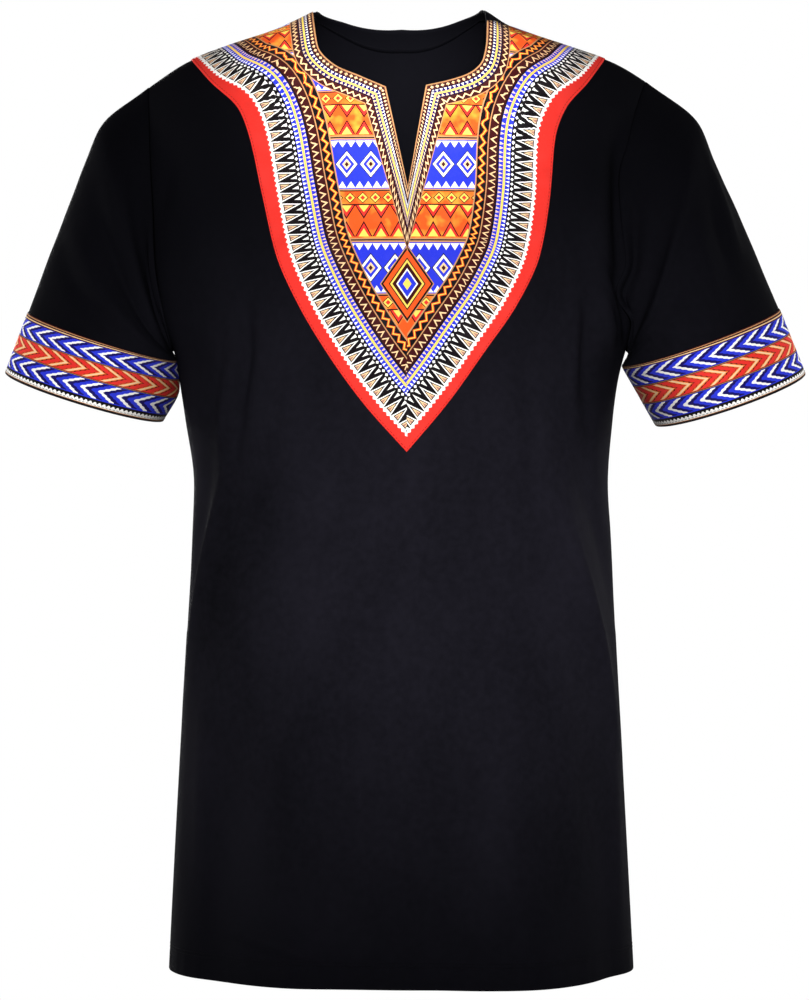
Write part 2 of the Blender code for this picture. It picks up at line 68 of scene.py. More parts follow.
# the curve from a screen's values to light
CURVE_KNEE, CURVE_SLOPE, CURVE_LIFT, CURVE_POWER = 0.04045, 12.92, 0.055, 2.4
PLAIN_WHITE = (1.0, 1.0, 1.0, 1.0)
Colour = tuple[float, float, float, float]
Array, Material, Socket, Thing = np.ndarray, bpy.types.Material, bpy.types.NodeSocket, bpy.types.Object
log = logging.getLogger("tunic")


class Side(Enum):
    """The wearer's right side lies at -X and the left one at +X."""

    RIGHT = -1
    LEFT = 1

    @property
    def word(self) -> str:
        """The side's name in a piece's name."""
        return self.name.lower()


class Face(Enum):
    """The front of the body has drops over 0, and the back has drops under 0."""

    FRONT = 1
    BACK = -1


class Fold(NamedTuple):
    """A soft ridge, or a trough where its height is under 0, along a line on the body."""

    around_top: float
    top: float
    around_foot: float
    foot: float
    width: float
    height: float


class SleeveFold(NamedTuple):
    """A soft ridge or trough on a sleeve, from one place to another.

    A turn is 0 on top, 1 at the middle of the front, 2 underneath and 3 behind; along is 0 at the armhole and
    1 at the cuff.
    """

    turn_start: float
    along_start: float
    turn_end: float
    along_end: float
    width: float
    height: float


class Section(NamedTuple):
    """A ring of a sleeve, through an upper and an under point, with a depth in front and behind."""

    along: float
    top_x: float
    top_z: float
    under_x: float
    under_z: float
    front: float
    back: float
    dip: float


def srgb(red: float, green: float, blue: float) -> Colour:
    """A colour as a screen shows it, 0 to 255, turned into light.

    Args:
        red: how much red the screen shows.
        green: how much green.
        blue: how much blue.

    Returns:
        The colour, with no transparency.
    """
    light = []
    for part in (red / 255, green / 255, blue / 255):
        curved = ((part + CURVE_LIFT) / (1 + CURVE_LIFT)) ** CURVE_POWER
        light.append(part / CURVE_SLOPE if part <= CURVE_KNEE else curved)
    return (*light, 1.0)


def unit(vectors: Array) -> Array:
    """The vectors at a length of 1; one of no length stays so."""
    length = np.linalg.norm(vectors, axis=-1, keepdims=True)
    return vectors / np.where(length > 0, length, 1.0)


def paired(first: Array | float, second: Array | float) -> Array:
    """Two numbers beside each other at each place of an array."""
    return np.stack(np.broadcast_arrays(first, second), axis=-1)


def path_lengths(points: Array, axis: int = 0) -> Array:
    """The distances along paths of points, which run along this axis, at each of their points."""
    run = np.cumsum(np.linalg.norm(np.diff(points, axis=axis), axis=-1), axis=axis)
    return np.insert(run, 0, 0.0, axis=axis)


def read_off(at: Array, lengths: Array, points: Array) -> Array:
    """A path's points at some distances along it."""
    return np.stack([np.interp(at, lengths, column) for column in points.T], axis=-1)


def chain(*paths: Array) -> Array:
    """Paths end to end, without their shared points twice."""
    return np.concatenate([paths[0]] + [path[1:] for path in paths[1:]])


def put_on(name: str, mesh: bpy.types.Mesh, finish: Material, slot: str) -> Thing:
    """Dresses a mesh and puts it on the model.

    Args:
        name: the piece's name.
        mesh: its mesh.
        finish: its material.
        slot: not used.

    Returns:
        The new object.
    """
    mesh.materials.append(finish)
    mesh.shade_smooth()
    piece = bpy.data.objects.new(name, mesh)
    bpy.context.scene.collection.objects.link(piece)
    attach(piece, "root")
    return piece


class SmoothCurve:
    """A smooth function through values that never overshoots them, flat beyond its ends."""

    def __init__(self, places: Sequence[float], values: Sequence[float] | Array) -> None:
        """Sets the curve's slopes.

        Args:
            places: where the values stand, rising.
            values: a number, or an array of numbers, at each place.
        """
        self.places = np.asarray(places, float)
        self.values = np.asarray(values, float)
        self.steps = np.diff(self.places).reshape((-1,) + (1,) * (self.values.ndim - 1))
        rates = np.diff(self.values, axis=0) / self.steps
        before, after = rates[:-1], rates[1:]
        same_way = before * after > 0
        inner = np.where(same_way, 2 * before * after / np.where(same_way, before + after, 1.0), 0.0)
        self.slopes = np.concatenate((rates[:1], inner, rates[-1:]))

    def __call__(self, at: float | Array) -> Array:
        """The curve's values at some places.

        Args:
            at: the places.

        Returns:
            A value for each of them.
        """
        at = np.clip(np.asarray(at, float), self.places[0], self.places[-1])
        i = np.clip(np.searchsorted(self.places, at, side="right") - 1, 0, len(self.places) - 2)
        spare = self.values.ndim - 1
        step = self.steps[i]
        t = (at - self.places[i]).reshape(at.shape + (1,) * spare) / step.reshape(at.shape + (1,) * spare)
        step = step.reshape(t.shape)
        start = self.values[i] * (1 + 2 * t) * (1 - t) ** 2 + self.slopes[i] * step * t * (1 - t) ** 2
        end = self.values[i + 1] * t * t * (3 - 2 * t) + self.slopes[i + 1] * step * t * t * (t - 1)
        return start + end


def table_curve(rows: Sequence[Sequence[float]], column: int) -> SmoothCurve:
    """A smooth function of a table's first column."""
    ordered = sorted(rows)
    return SmoothCurve([row[0] for row in ordered], [row[column] for row in ordered])


def paired_curves(kind: type[Enum], rows: Sequence[Sequence[float]], first: int = 1, second: int = 2) -> dict:
    """Smooth functions of a table's two columns, for the two sides or the two faces."""
    return {option: table_curve(rows, column) for option, column in zip(kind, (first, second))}


@dataclass
class TunicForm:
    """The filled-out form of the body, shared by every piece that lies on it."""

    underarm: float = -0.306
    hem: float = -0.861
    plan_power: float = 2.3
    back_fullness: float = 0.78
    quarter_girth: float = 0.27
    fold_start: float = 3.0
    fold_ends: float = 1.0
    fine_steps: int = 96
    # out from the middle, height on the right, height on the left
    ridge_rows: tuple = (
        (0.0, 0.012, 0.012), (0.05, 0.008, 0.008), (0.074, 0.0, 0.0), (0.094, -0.0095, -0.0125),
        (0.113, -0.018, -0.0205), (0.155, -0.032, -0.0345), (0.19, -0.0455, -0.047),
        (0.2265, -0.069, -0.069), (0.27, -0.101, -0.102),
    )
    # out from the middle, the seam's drop on the right, on the left
    seam_rows: tuple = (
        (0.07, 0.05, 0.22), (0.091, 0.04, 0.115), (0.11, 0.03, 0.05), (0.15, 0.025, 0.025),
        (0.2265, 0.0, 0.0),
    )
    # drop, right seam, right reach, left seam, left reach
    chest_rows: tuple = (
        (0.0, 0.2265, 0.24, 0.22, 0.238), (0.2, 0.226, 0.241, 0.215, 0.236),
        (0.4, 0.224, 0.241, 0.206, 0.233), (0.5, 0.2228, 0.2394, 0.2025, 0.2312),
        (0.6, 0.221, 0.237, 0.1995, 0.229), (0.7, 0.2192, 0.2339, 0.201, 0.2262),
        (0.8, 0.2175, 0.23, 0.203, 0.223), (0.87, 0.2145, 0.224, 0.1975, 0.2168),
        (0.94, 0.2098, 0.2152, 0.2045, 0.209), (1.0, 0.204, 0.204, 0.201, 0.201),
    )
    # height, right half width, left half width
    body_rows: tuple = (
        (-0.306, 0.204, 0.201), (-0.318, 0.201, 0.1975), (-0.336, 0.1985, 0.1935), (-0.366, 0.194, 0.1895),
        (-0.426, 0.186, 0.185), (-0.47, 0.1875, 0.1875), (-0.577, 0.1935, 0.193), (-0.75, 0.203, 0.2022),
        (-0.861, 0.2085, 0.208),
    )
    # place across, how much lower than the hem's level its edge hangs there
    hem_rows: tuple = (
        (-0.2085, -0.0024), (-0.16, -0.0004), (-0.04, 0.001), (0.08, 0.003), (0.15, 0.0016),
        (0.208, -0.002),
    )
    # height, front depth, back depth
    depth_rows: tuple = (
        (0.012, 0.125, 0.118), (-0.306, 0.125, 0.118), (-0.44, 0.1205, 0.108), (-0.62, 0.123, 0.113),
        (-0.861, 0.13, 0.125),
    )
    # folds of the front and of the back; rows as in Fold, with the finer creases last
    front_folds: tuple = (
        (-0.42, -0.225, -0.52, -0.43, 0.018, -0.0068), (-0.5, -0.3, -0.86, -0.64, 0.022, 0.007),
        (0.41, -0.23, 0.45, -0.48, 0.018, -0.0061), (0.44, -0.37, 0.86, -0.68, 0.022, 0.0078),
        (0.62, -0.38, 0.92, -0.56, 0.022, -0.0054), (-0.66, -0.38, -0.94, -0.56, 0.022, -0.0054),
        (0.52, -0.13, 0.58, -0.275, 0.016, 0.0061), (0.56, -0.245, 0.74, -0.316, 0.014, 0.0104),
        (0.62, -0.09, 0.72, -0.29, 0.015, -0.0121), (0.7, -0.24, 0.86, -0.302, 0.012, -0.0081),
        (-0.22, -0.48, -0.3, -0.861, 0.034, 0.0068), (0.02, -0.56, 0.1, -0.861, 0.03, -0.0068),
        (0.3, -0.52, 0.4, -0.861, 0.034, 0.0074), (-0.52, -0.56, -0.58, -0.861, 0.03, -0.0061),
        (0.66, -0.64, 0.72, -0.861, 0.03, -0.0061),
        (-0.405, -0.225, -0.64, -0.41, 0.008, 0.0049), (-0.385, -0.262, -0.56, -0.46, 0.0085, 0.0041),
        (-0.4, -0.24, -0.6, -0.43, 0.0085, -0.0045), (-0.33, -0.3, -0.48, -0.47, 0.011, -0.0028),
        (0.47, -0.222, 0.6, -0.39, 0.0085, 0.0043), (0.56, -0.232, 0.8, -0.3, 0.008, 0.0049),
        (0.52, -0.24, 0.7, -0.4, 0.0095, -0.0041), (0.4, -0.27, 0.5, -0.44, 0.01, 0.0026),
        (-0.56, -0.38, -0.87, -0.6, 0.0075, 0.0032), (0.5, -0.42, 0.85, -0.67, 0.0075, 0.0035),
        (0.0, -0.745, 0.24, -0.842, 0.013, -0.0045), (0.03, -0.72, 0.3, -0.815, 0.013, 0.0028),
        (-0.56, -0.815, -0.25, -0.838, 0.011, -0.0024), (0.12, -0.45, 0.18, -0.72, 0.024, 0.0032),
        (-0.12, -0.52, -0.16, -0.78, 0.024, -0.0028), (-0.7, -0.6, -0.66, -0.83, 0.014, 0.0028),
        (0.5, -0.56, 0.54, -0.79, 0.018, 0.0028), (0.82, -0.64, 0.78, -0.85, 0.014, 0.0028),
        (-0.62, -0.12, -0.74, -0.2, 0.012, -0.0024), (0.66, -0.125, 0.76, -0.19, 0.011, -0.0024),
    )
    back_folds: tuple = (
        (-0.48, -0.2, -0.66, -0.5, 0.024, 0.0092), (0.46, -0.21, 0.62, -0.52, 0.026, 0.01),
        (-0.3, -0.33, -0.34, -0.861, 0.034, -0.01), (-0.06, -0.42, -0.02, -0.861, 0.032, 0.0109),
        (0.26, -0.36, 0.32, -0.861, 0.032, -0.0092), (-0.6, -0.56, -0.66, -0.861, 0.03, 0.0082),
        (0.6, -0.6, 0.64, -0.861, 0.03, 0.0082),
        (-0.4, -0.16, -0.66, -0.36, 0.01, 0.0063), (-0.36, -0.2, -0.56, -0.42, 0.01, -0.005),
        (0.38, -0.17, 0.64, -0.37, 0.01, 0.0063), (0.42, -0.215, 0.7, -0.42, 0.0095, -0.0057),
        (0.0, -0.06, 0.02, -0.24, 0.02, 0.0034), (-0.16, -0.52, -0.2, -0.8, 0.018, 0.005),
        (0.12, -0.48, 0.16, -0.79, 0.02, -0.0045), (0.44, -0.56, 0.5, -0.83, 0.016, 0.005),
        (-0.46, -0.52, -0.52, -0.84, 0.017, -0.0045), (-0.74, -0.42, -0.86, -0.6, 0.012, 0.005),
        (0.76, -0.4, 0.86, -0.62, 0.012, 0.005), (-0.2, -0.79, 0.1, -0.845, 0.012, -0.0039),
    )
    # the cloth's soft unevenness: its scale round and down, where it starts behind, and its waves
    uneven_scale: tuple = (3, 9)
    uneven_start: float = 2.1
    # waves across, waves down, start and height
    unevenness: tuple = (
        (2.3, 3.1, 0.4, 0.0005), (-3.7, 5.2, 1.9, 0.00035), (5.9, 2.4, 2.7, 0.0003),
        (7.3, -8.1, 0.9, 0.00018), (-11.7, 6.7, 4.2, 0.00012), (13.9, 12.3, 3.3, 0.00008),
    )

    def __post_init__(self) -> None:
        """Makes the smooth functions of the tables."""
        self._hem_line = table_curve(self.hem_rows, 1)
        self._ridge = paired_curves(Side, self.ridge_rows)
        self._seam_drop = paired_curves(Side, self.seam_rows)
        self._armhole = paired_curves(Side, self.chest_rows, 1, 3)
        self._chest = paired_curves(Side, self.chest_rows, 2, 4)
        self._body = paired_curves(Side, self.body_rows)
        self._depth = paired_curves(Face, self.depth_rows)

    @staticmethod
    def _sided(curves: dict, x: Array, at: Array) -> Array:
        """What each side's own curve gives, for places that lie on one side or the other of the middle."""
        return np.where(x > 0, curves[Side.LEFT](at), curves[Side.RIGHT](at))

    def ridge(self, x: Array) -> Array:
        """Height of the shoulder ridge at a distance from the middle."""
        return self._sided(self._ridge, x, np.abs(x))

    def reach(self, around: Array, down: Array) -> Array:
        """Half width of the plan on the side that a place is on.

        Args:
            around: the places' first coordinates.
            down: their drops, without a sign.

        Returns:
            The half widths.
        """
        height = self.underarm + (self.hem - self.underarm) * (down - 1)
        chest, body = self._sided(self._chest, around, down), self._sided(self._body, around, height)
        return np.where(down <= 1, chest, body)

    def _lift(self, folds: Sequence[tuple], around: Array, z: Array) -> Array:
        """How far some folds move the cloth out.

        Args:
            folds: the folds' table.
            around: the places' first coordinates.
            z: the places' heights.

        Returns:
            The height of the cloth over its even form.
        """
        total = np.zeros(np.shape(around))
        for fold in map(Fold._make, folds):
            length = fold.top - fold.foot
            down = (fold.top - z) / length
            along = np.clip(down, 0.0, 1.0)
            middle = fold.around_top + (fold.around_foot - fold.around_top) * along
            across = (around - middle) * self.quarter_girth / fold.width
            past = (down - along) * length / fold.width
            if fold.foot <= self.hem:
                rise = np.minimum(1.0, along * self.fold_start)
            else:
                rise = np.sin(HALF_TURN * along) ** self.fold_ends
            total += fold.height * rise * np.exp(-across * across - past * past)
        return total

    def points(self, places: Array) -> Array:
        """The points of the cloth's middle surface.

        Args:
            places: pairs of around and drop, in an array of any shape.

        Returns:
            The points, in an array of the same shape.
        """
        around, drop = places[..., 0], places[..., 1]
        down, behind = np.abs(drop), drop < 0
        span = np.sin(around * QUARTER_TURN)
        reach = self.reach(around, down)
        x = reach * span
        swing = np.minimum(down, 1.0) * QUARTER_TURN
        over = self.underarm + (self.ridge(x) - self.underarm) * np.cos(swing)
        under = self.underarm + (self.hem - self.underarm - self._hem_line(x)) * (down - 1)
        z = np.where(down <= 1, over, under)
        fill = np.sin(swing) ** np.where(behind, self.back_fullness, 1.0)
        plan = np.maximum(0.0, 1 - np.abs(span) ** self.plan_power) ** (1 / self.plan_power)
        depth = np.where(behind, self._depth[Face.BACK](z), self._depth[Face.FRONT](z))
        y = np.where(behind, 1.0, -1.0) * depth * plan * fill
        out = unit(np.stack((x / reach**2, y / depth**2, np.zeros_like(x)), axis=-1))
        front, back = (self._lift(folds, around, z) for folds in (self.front_folds, self.back_folds))
        lift = np.where(behind, back, front) + self._rumple(around, z, behind) * fill
        return np.stack((x, y, z), axis=-1) + out * lift[..., None]

    def _rumple(self, around: Array, z: Array, behind: Array) -> Array:
        """The soft unevenness of hanging cloth, which dies out at the side seams.

        Args:
            around: the places' first coordinates.
            z: their heights.
            behind: whether they are on the back.

        Returns:
            How far the cloth moves out.
        """
        turned = np.where(behind, self.uneven_start - around, around)
        total = np.zeros(np.shape(around))
        wide, long = self.uneven_scale
        for across, down, start, height in self.unevenness:
            total += height * np.sin(across * turned * wide + start) * np.sin(down * z * long + start * 2)
        return total * np.cos(np.clip(around, -1.0, 1.0) * QUARTER_TURN)

    def normals(self, places: Array, step: float = 0.002) -> Array:
        """The directions straight out of the cloth at some places.

        Args:
            places: pairs of around and drop.
            step: how far on either side to look.

        Returns:
            A direction for each of them.
        """
        aside, below = np.array((step, 0.0)), np.array((0.0, step))
        low, high = places - aside, places + aside
        low[..., 0] = np.maximum(low[..., 0], -1.0)
        high[..., 0] = np.minimum(high[..., 0], 1.0)
        across = self.points(high) - self.points(low)
        downward = self.points(places + below) - self.points(places - below)
        return unit(np.cross(downward, across))

    def place_of(self, seen: Array, face: Face = Face.FRONT) -> Array:
        """The places of points given as they are seen from the front.

        Args:
            seen: pairs of x and z.
            face: the side of the body that they are on.

        Returns:
            Pairs of around and drop.
        """
        x, z = seen[..., 0], seen[..., 1]
        rise = np.clip((z - self.underarm) / (self.ridge(x) - self.underarm), 0.0, 1.0)
        below = (self.underarm - z) / (self.underarm - self.hem)
        down = np.where(z >= self.underarm, np.arccos(rise) / QUARTER_TURN, 1 + below)
        around = np.arcsin(np.clip(x / self.reach(x, down), -1.0, 1.0)) / QUARTER_TURN
        return paired(around, down * face.value)

    def seam_place(self, x: Array) -> Array:
        """The places of the shoulder seam at distances from the middle."""
        drop = self._sided(self._seam_drop, x, np.abs(x))
        return paired(np.arcsin(x / self._sided(self._chest, x, drop)) / QUARTER_TURN, drop)

    def respaced(self, places: Array, cells: int) -> Array:
        """The same path over the body with its places an equal length of cloth apart."""
        lengths = path_lengths(self.points(places))
        return read_off(np.linspace(0.0, lengths[-1], cells + 1), lengths, places)

    def edge(self, seen: Array, cells: int, start: float | None = None, end: float | None = None) -> Array:
        """A cut edge that is given as seen from the front.

        Args:
            seen: pairs of x and z along it.
            cells: how many cells it is cut into.
            start: the distance from the middle at which it leaves a shoulder seam, if it does.
            end: the distance from the middle at which it meets a shoulder seam, if it does.

        Returns:
            Evenly spaced places.
        """
        seams = [None if x is None else self.seam_place(np.array([x])) for x in (start, end)]
        ends = [np.zeros((0, 2)) if seam is None else self.points(seam)[:, (0, 2)] for seam in seams]
        seen = np.concatenate((ends[0], seen, ends[1]))
        lengths = path_lengths(seen)
        line = SmoothCurve(lengths, seen)(np.linspace(0.0, lengths[-1], self.fine_steps + 1))
        places = self.place_of(line)
        for end_row, seam in zip((0, -1), seams):
            if seam is not None:
                places[end_row] = seam[0]
        return self.respaced(places, cells)

    def armhole(self, side: Side, face: Face, cells: int) -> Array:
        """Places down one armhole, from the shoulder tip to the underarm.

        Args:
            side: the body's side.
            face: the panel's face.
            cells: how many cells it has.

        Returns:
            Evenly spaced places.
        """
        drop = np.linspace(0.0, 1.0, self.fine_steps + 1)
        share = np.minimum(1.0, self._armhole[side](drop) / self._chest[side](drop))
        around = side.value * np.arcsin(share) / QUARTER_TURN
        return self.respaced(paired(around, face.value * drop), cells)

    def shoulder(self, side: Side, start: float, end: float, cells: int) -> Array:
        """Places along a shoulder seam between two distances from the middle."""
        out = np.linspace(start, end, self.fine_steps + 1)
        return self.respaced(self.seam_place(side.value * out), cells)

    def shoulder_tip(self, side: Side) -> float:
        """The distance from the middle to the shoulder's tip."""
        return float(self._armhole[side](0.0))


@dataclass
class Cutting:
    """The cut lines of the panels, and how finely their cloth is divided."""

    form: TunicForm
    neck_out: dict = field(default_factory=lambda: {Side.RIGHT: 0.0790, Side.LEFT: 0.0757})
    yoke_out: dict = field(default_factory=lambda: {Side.RIGHT: 0.1890, Side.LEFT: 0.1830})
    right_neck: tuple = (
        (-0.0765, -0.022), (-0.073, -0.041), (-0.0575, -0.0585), (-0.036, -0.0685), (-0.0136, -0.0785),
    )
    left_neck: tuple = (
        (0.0214, -0.077), (0.044, -0.0715), (0.061, -0.0645), (0.0715, -0.052), (0.075, -0.032),
    )
    slit_tip: tuple = (0.0056, -0.1680)
    yoke_tip: tuple = (0.0046, -0.3980)
    right_yoke: tuple = (
        (-0.1685, -0.07), (-0.143, -0.096), (-0.1325, -0.123), (-0.121, -0.175), (-0.109, -0.226),
        (-0.09, -0.269), (-0.064, -0.313), (-0.033, -0.356),
    )
    left_yoke: tuple = (
        (0.165, -0.07), (0.144, -0.096), (0.1345, -0.123), (0.1295, -0.175), (0.1205, -0.226),
        (0.101, -0.269), (0.071, -0.313), (0.04, -0.356),
    )
    back_neck_dip: float = 0.0098
    back_peak: dict = field(default_factory=lambda: {Side.RIGHT: 0.0745, Side.LEFT: 0.0712})
    back_neck_power: float = 2.4
    facing_depth: float = 0.0190
    waist_row: float = 1.50
    # the rows are eased off the left armhole, which runs along them: row, rows, columns and distance round
    easing: tuple = (14.0, 8.0, 6.0, 0.0170)
    side_hold: int = 4
    skirt_spacing: float = 1.25
    neck_columns: int = 52
    slit_columns: int = 30
    back_columns: int = 150
    yoke_rows: int = 40
    shoulder_rows: int = 8
    armhole_rows: int = 58
    skirt_rows: int = 104
    facing_rows: int = 6
    # heights of the last rows above the hem
    hem_rows: tuple = (0.0260, 0.0245, 0.0234, 0.0226, 0.0218, 0.0207, 0.0196, 0.0188, 0.0180, 0.0165, 0.0130,
                       0.0090, 0.0050, 0.0020, 0.0)

    def neckline(self) -> Array:
        """Places along the neckline and round the slit, from the right shoulder seam to the left one.

        Returns:
            The places.
        """
        form, tip = self.form, np.array([self.slit_tip])
        right, left = np.array(self.right_neck), np.array(self.left_neck)
        return chain(
            form.edge(right, self.neck_columns, start=-self.neck_out[Side.RIGHT]),
            form.edge(np.concatenate((right[-1:], tip)), self.slit_columns),
            form.edge(np.concatenate((tip, left[:1])), self.slit_columns),
            form.edge(left, self.neck_columns, end=self.neck_out[Side.LEFT]),
        )

    def yoke_outline(self) -> Array:
        """Places along the yoke's outer edge, from the right shoulder seam over its tip to the left one.

        Returns:
            The places.
        """
        half, tip = self.neck_columns + self.slit_columns, np.array([self.yoke_tip])
        right, left = np.array(self.right_yoke), np.array(self.left_yoke)
        return chain(
            self.form.edge(np.concatenate((right, tip)), half, start=-self.yoke_out[Side.RIGHT]),
            self.form.edge(np.concatenate((tip, left[::-1])), half, end=self.yoke_out[Side.LEFT]),
        )

    def side_edge(self, side: Side, face: Face) -> Array:
        """Places from the neckline over the shoulder seam and down the armhole to the underarm.

        Args:
            side: the body's side.
            face: the panel's face.

        Returns:
            The places.
        """
        tip = self.form.shoulder_tip(side)
        return chain(
            self.form.shoulder(side, self.neck_out[side], self.yoke_out[side], self.yoke_rows),
            self.form.shoulder(side, self.yoke_out[side], tip, self.shoulder_rows),
            self.form.armhole(side, face, self.armhole_rows),
        )

    @staticmethod
    def strip(first: Array, last: Array, right: Array, left: Array) -> Array:
        """Rows of places from a first to a last row, with their ends moved to the two sides.

        Args:
            first: the first row.
            last: the last row.
            right: the places on the right side, one for each row.
            left: the places on the left side.

        Returns:
            The rows.
        """
        rows = first + np.linspace(0.0, 1.0, len(right))[:, None, None] * (last - first)
        rows[:, 0], rows[:, -1] = right, left
        return rows

    def patch(self, first: Array, last: Array, right: Array, left: Array) -> Array:
        """Rows of places from a first to a last row, bent at their ends to meet the two sides.

        Args:
            first: the first row.
            last: the last row.
            right: the places on the right side, one for each row.
            left: the places on the left side.

        Returns:
            The rows.
        """
        v = np.linspace(0.0, 1.0, len(right))[:, None, None]
        u = np.linspace(0.0, 1.0, len(first))[None, :, None]
        straight = (1 - v) * first[None] + v * last[None]
        right_bend = right[:, None] - straight[:, :1]
        left_bend = left[:, None] - straight[:, -1:]
        return straight + (1 - u) ** self.side_hold * right_bend + u**self.side_hold * left_bend

    def underarm_row(self, columns: int, face: Face) -> Array:
        """The row that starts at one underarm, dips to the waist in the middle and ends at the other."""
        around = np.linspace(-1.0, 1.0, columns + 1)
        return paired(around, face.value * (1 + (self.waist_row - 1) * np.cos(around * QUARTER_TURN)))

    def skirt(self, first: Array, face: Face) -> Array:
        """Rows from the underarms down to the hem, the last ones straight along it.

        Args:
            first: the row at the underarms.
            face: the panel's face.

        Returns:
            The rows.
        """
        around = np.linspace(-1.0, 1.0, len(first))
        length = self.form.underarm - self.form.hem
        turned = 2.0 - np.array(self.hem_rows) / length
        spread = np.linspace(0.0, 1.0, self.skirt_rows + 1) ** self.skirt_spacing
        drop = face.value * (1 + (turned[0] - 1) * spread)
        right, left = (paired(side.value, drop) for side in Side)
        hem = paired(around, face.value * turned[:, None])
        return chain(self.patch(first, hem[0], right, left), hem)

    def front(self) -> Array:
        """Rows of places of the front panel, from the neckline and slit to the hem.

        Returns:
            The rows, from the right to the left.
        """
        neck, outline = self.neckline(), self.yoke_outline()
        right, left = (self.side_edge(side, Face.FRONT) for side in Side)
        upper = self.strip(neck, outline, right[: self.yoke_rows + 1], left[: self.yoke_rows + 1])
        waist = self.underarm_row(len(neck) - 1, Face.FRONT)
        chest = self.patch(upper[-1], waist, right[self.yoke_rows :], left[self.yoke_rows :])
        middle, rows, columns, distance = self.easing
        near = np.exp(-(((np.arange(chest.shape[0])[:, None] - middle) / rows) ** 2))
        in_from = np.arange(chest.shape[1])[::-1] / columns
        chest[..., 0] -= distance * near * in_from * np.exp(1 - in_from)
        return chain(upper, chest, self.skirt(chest[-1], Face.FRONT))

    def back_neck_row(self, right_end: Array, left_end: Array, lower: float) -> Array:
        """Places along the back neckline, or along a line at this distance down the back from it.

        Args:
            right_end: the place on the right shoulder seam.
            left_end: the place on the left shoulder seam.
            lower: the distance.

        Returns:
            Evenly spaced places.
        """
        form = self.form
        ends = form.points(np.stack((right_end, left_end)))[:, 0]
        t = np.linspace(-1.0, 1.0, form.fine_steps + 1)[1:-1]
        x = t * np.where(t > 0, ends[1], -ends[0])
        peak = np.where(t > 0, self.back_peak[Side.LEFT], self.back_peak[Side.RIGHT])
        inner = np.minimum(1.0, np.abs(x) / peak)
        fall = (self.back_neck_dip + form.ridge(np.array(0.0))) * (1 - inner**self.back_neck_power)
        z = form.ridge(x) - fall - lower * np.cos(t * QUARTER_TURN)
        places = form.place_of(paired(x, z), Face.BACK)
        return form.respaced(np.concatenate((right_end[None], places, left_end[None])), self.back_columns)

    def back(self) -> Array:
        """Rows of places of the back panel, from the neckline to the hem.

        Returns:
            The rows, from the right to the left.
        """
        right, left = (self.side_edge(side, Face.BACK) for side in Side)
        neck = self.back_neck_row(right[0], left[0], 0.0)
        first = self.facing_rows
        facing = self.back_neck_row(right[first], left[first], self.facing_depth)
        upper = self.strip(neck, facing, right[: first + 1], left[: first + 1])
        waist = self.underarm_row(self.back_columns, Face.BACK)
        below = self.patch(facing, waist, right[first:], left[first:])
        return chain(upper, below, self.skirt(below[-1], Face.BACK))


@dataclass
class ClothGrid:
    """Points of a piece of cloth in rows and columns, from which its mesh is made."""

    points: Array
    closed: bool = False
    flipped: bool = False

    def faces(self) -> Array:
        """The four corners of each cell, as numbers of points.

        Returns:
            A row of four for each cell.
        """
        rows, columns = self.points.shape[:2]
        across = np.arange(columns if self.closed else columns - 1)
        after = (across + 1) % columns
        upper = np.arange(rows - 1)[:, None] * columns
        corners = np.stack(
            (upper + across, upper + columns + across, upper + columns + after, upper + after), axis=-1
        ).reshape(-1, 4)
        return corners[:, ::-1] if self.flipped else corners

    def corner_map(self, values: Array) -> Array:
        """Texture coordinates for each corner of each cell.

        Args:
            values: a pair for each point; a closed grid has one column more, which ends its turn.

        Returns:
            The pairs, in the order of the cells' corners.
        """
        upper, lower = values[:-1], values[1:]
        corners = np.stack((upper[:, :-1], lower[:, :-1], lower[:, 1:], upper[:, 1:]), axis=2)
        if self.flipped:
            corners = corners[:, :, ::-1]
        return corners.reshape(-1, 2)

    def normals(self) -> Array:
        """The directions straight out of the cloth at the grid's points.

        Returns:
            A direction for each point.
        """
        points = self.points
        if self.closed:
            across = np.roll(points, -1, axis=1) - np.roll(points, 1, axis=1)
        else:
            across = np.gradient(points, axis=1)
        out = unit(np.cross(np.gradient(points, axis=0), across))
        return -out if self.flipped else out


@dataclass
class Piece:
    """A piece of cloth with a thickness and texture coordinates."""

    name: str
    grid: ClothGrid
    maps: dict
    thickness: float
    finish: Material
    slot: str
    stands_for: str

    def build(self) -> Thing:
        """Makes the piece's mesh, dresses it and puts it on the model.

        Returns:
            The new object.
        """
        mesh = bpy.data.meshes.new(self.name)
        vertices = self.grid.points.reshape(-1, 3)
        mesh.from_pydata(vertices.tolist(), [], self.grid.faces().tolist())
        for layer, values in self.maps.items():
            mesh.uv_layers.new(name=layer).data.foreach_set("uv", values.astype(np.float32).ravel())
        piece = put_on(self.name, mesh, self.finish, self.slot)
        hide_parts(self.stands_for)
        wall = piece.modifiers.new("Wall", "SOLIDIFY")
        wall.thickness, wall.offset = self.thickness, 0.0
        return piece


def edge_turn(edge: Array, inner: Array, out: Array, draw: float, depth: float) -> Array:
    """The points over which a cut edge rolls in, as a seam turns it.

    Args:
        edge: the points along the edge.
        inner: the points beside them on the cloth.
        out: the directions straight out of the cloth at the edge.
        draw: how far the edge is drawn back over the cloth, so that two panels meet in a groove.
        depth: how deep its allowance stands inside.

    Returns:
        For each point of the edge, its own new place, two points of the bend and the allowance's end.
    """
    along = unit(np.gradient(edge, axis=0))
    inward = inner - edge
    inward = unit(inward - along * np.sum(inward * along, axis=1, keepdims=True))
    down = unit(-out + along * np.sum(out * along, axis=1, keepdims=True))
    steps = [*SEAM_BEND, (0.0, depth)]
    return np.stack([edge + inward * (draw + back) + down * sunk for back, sunk in steps], axis=1)


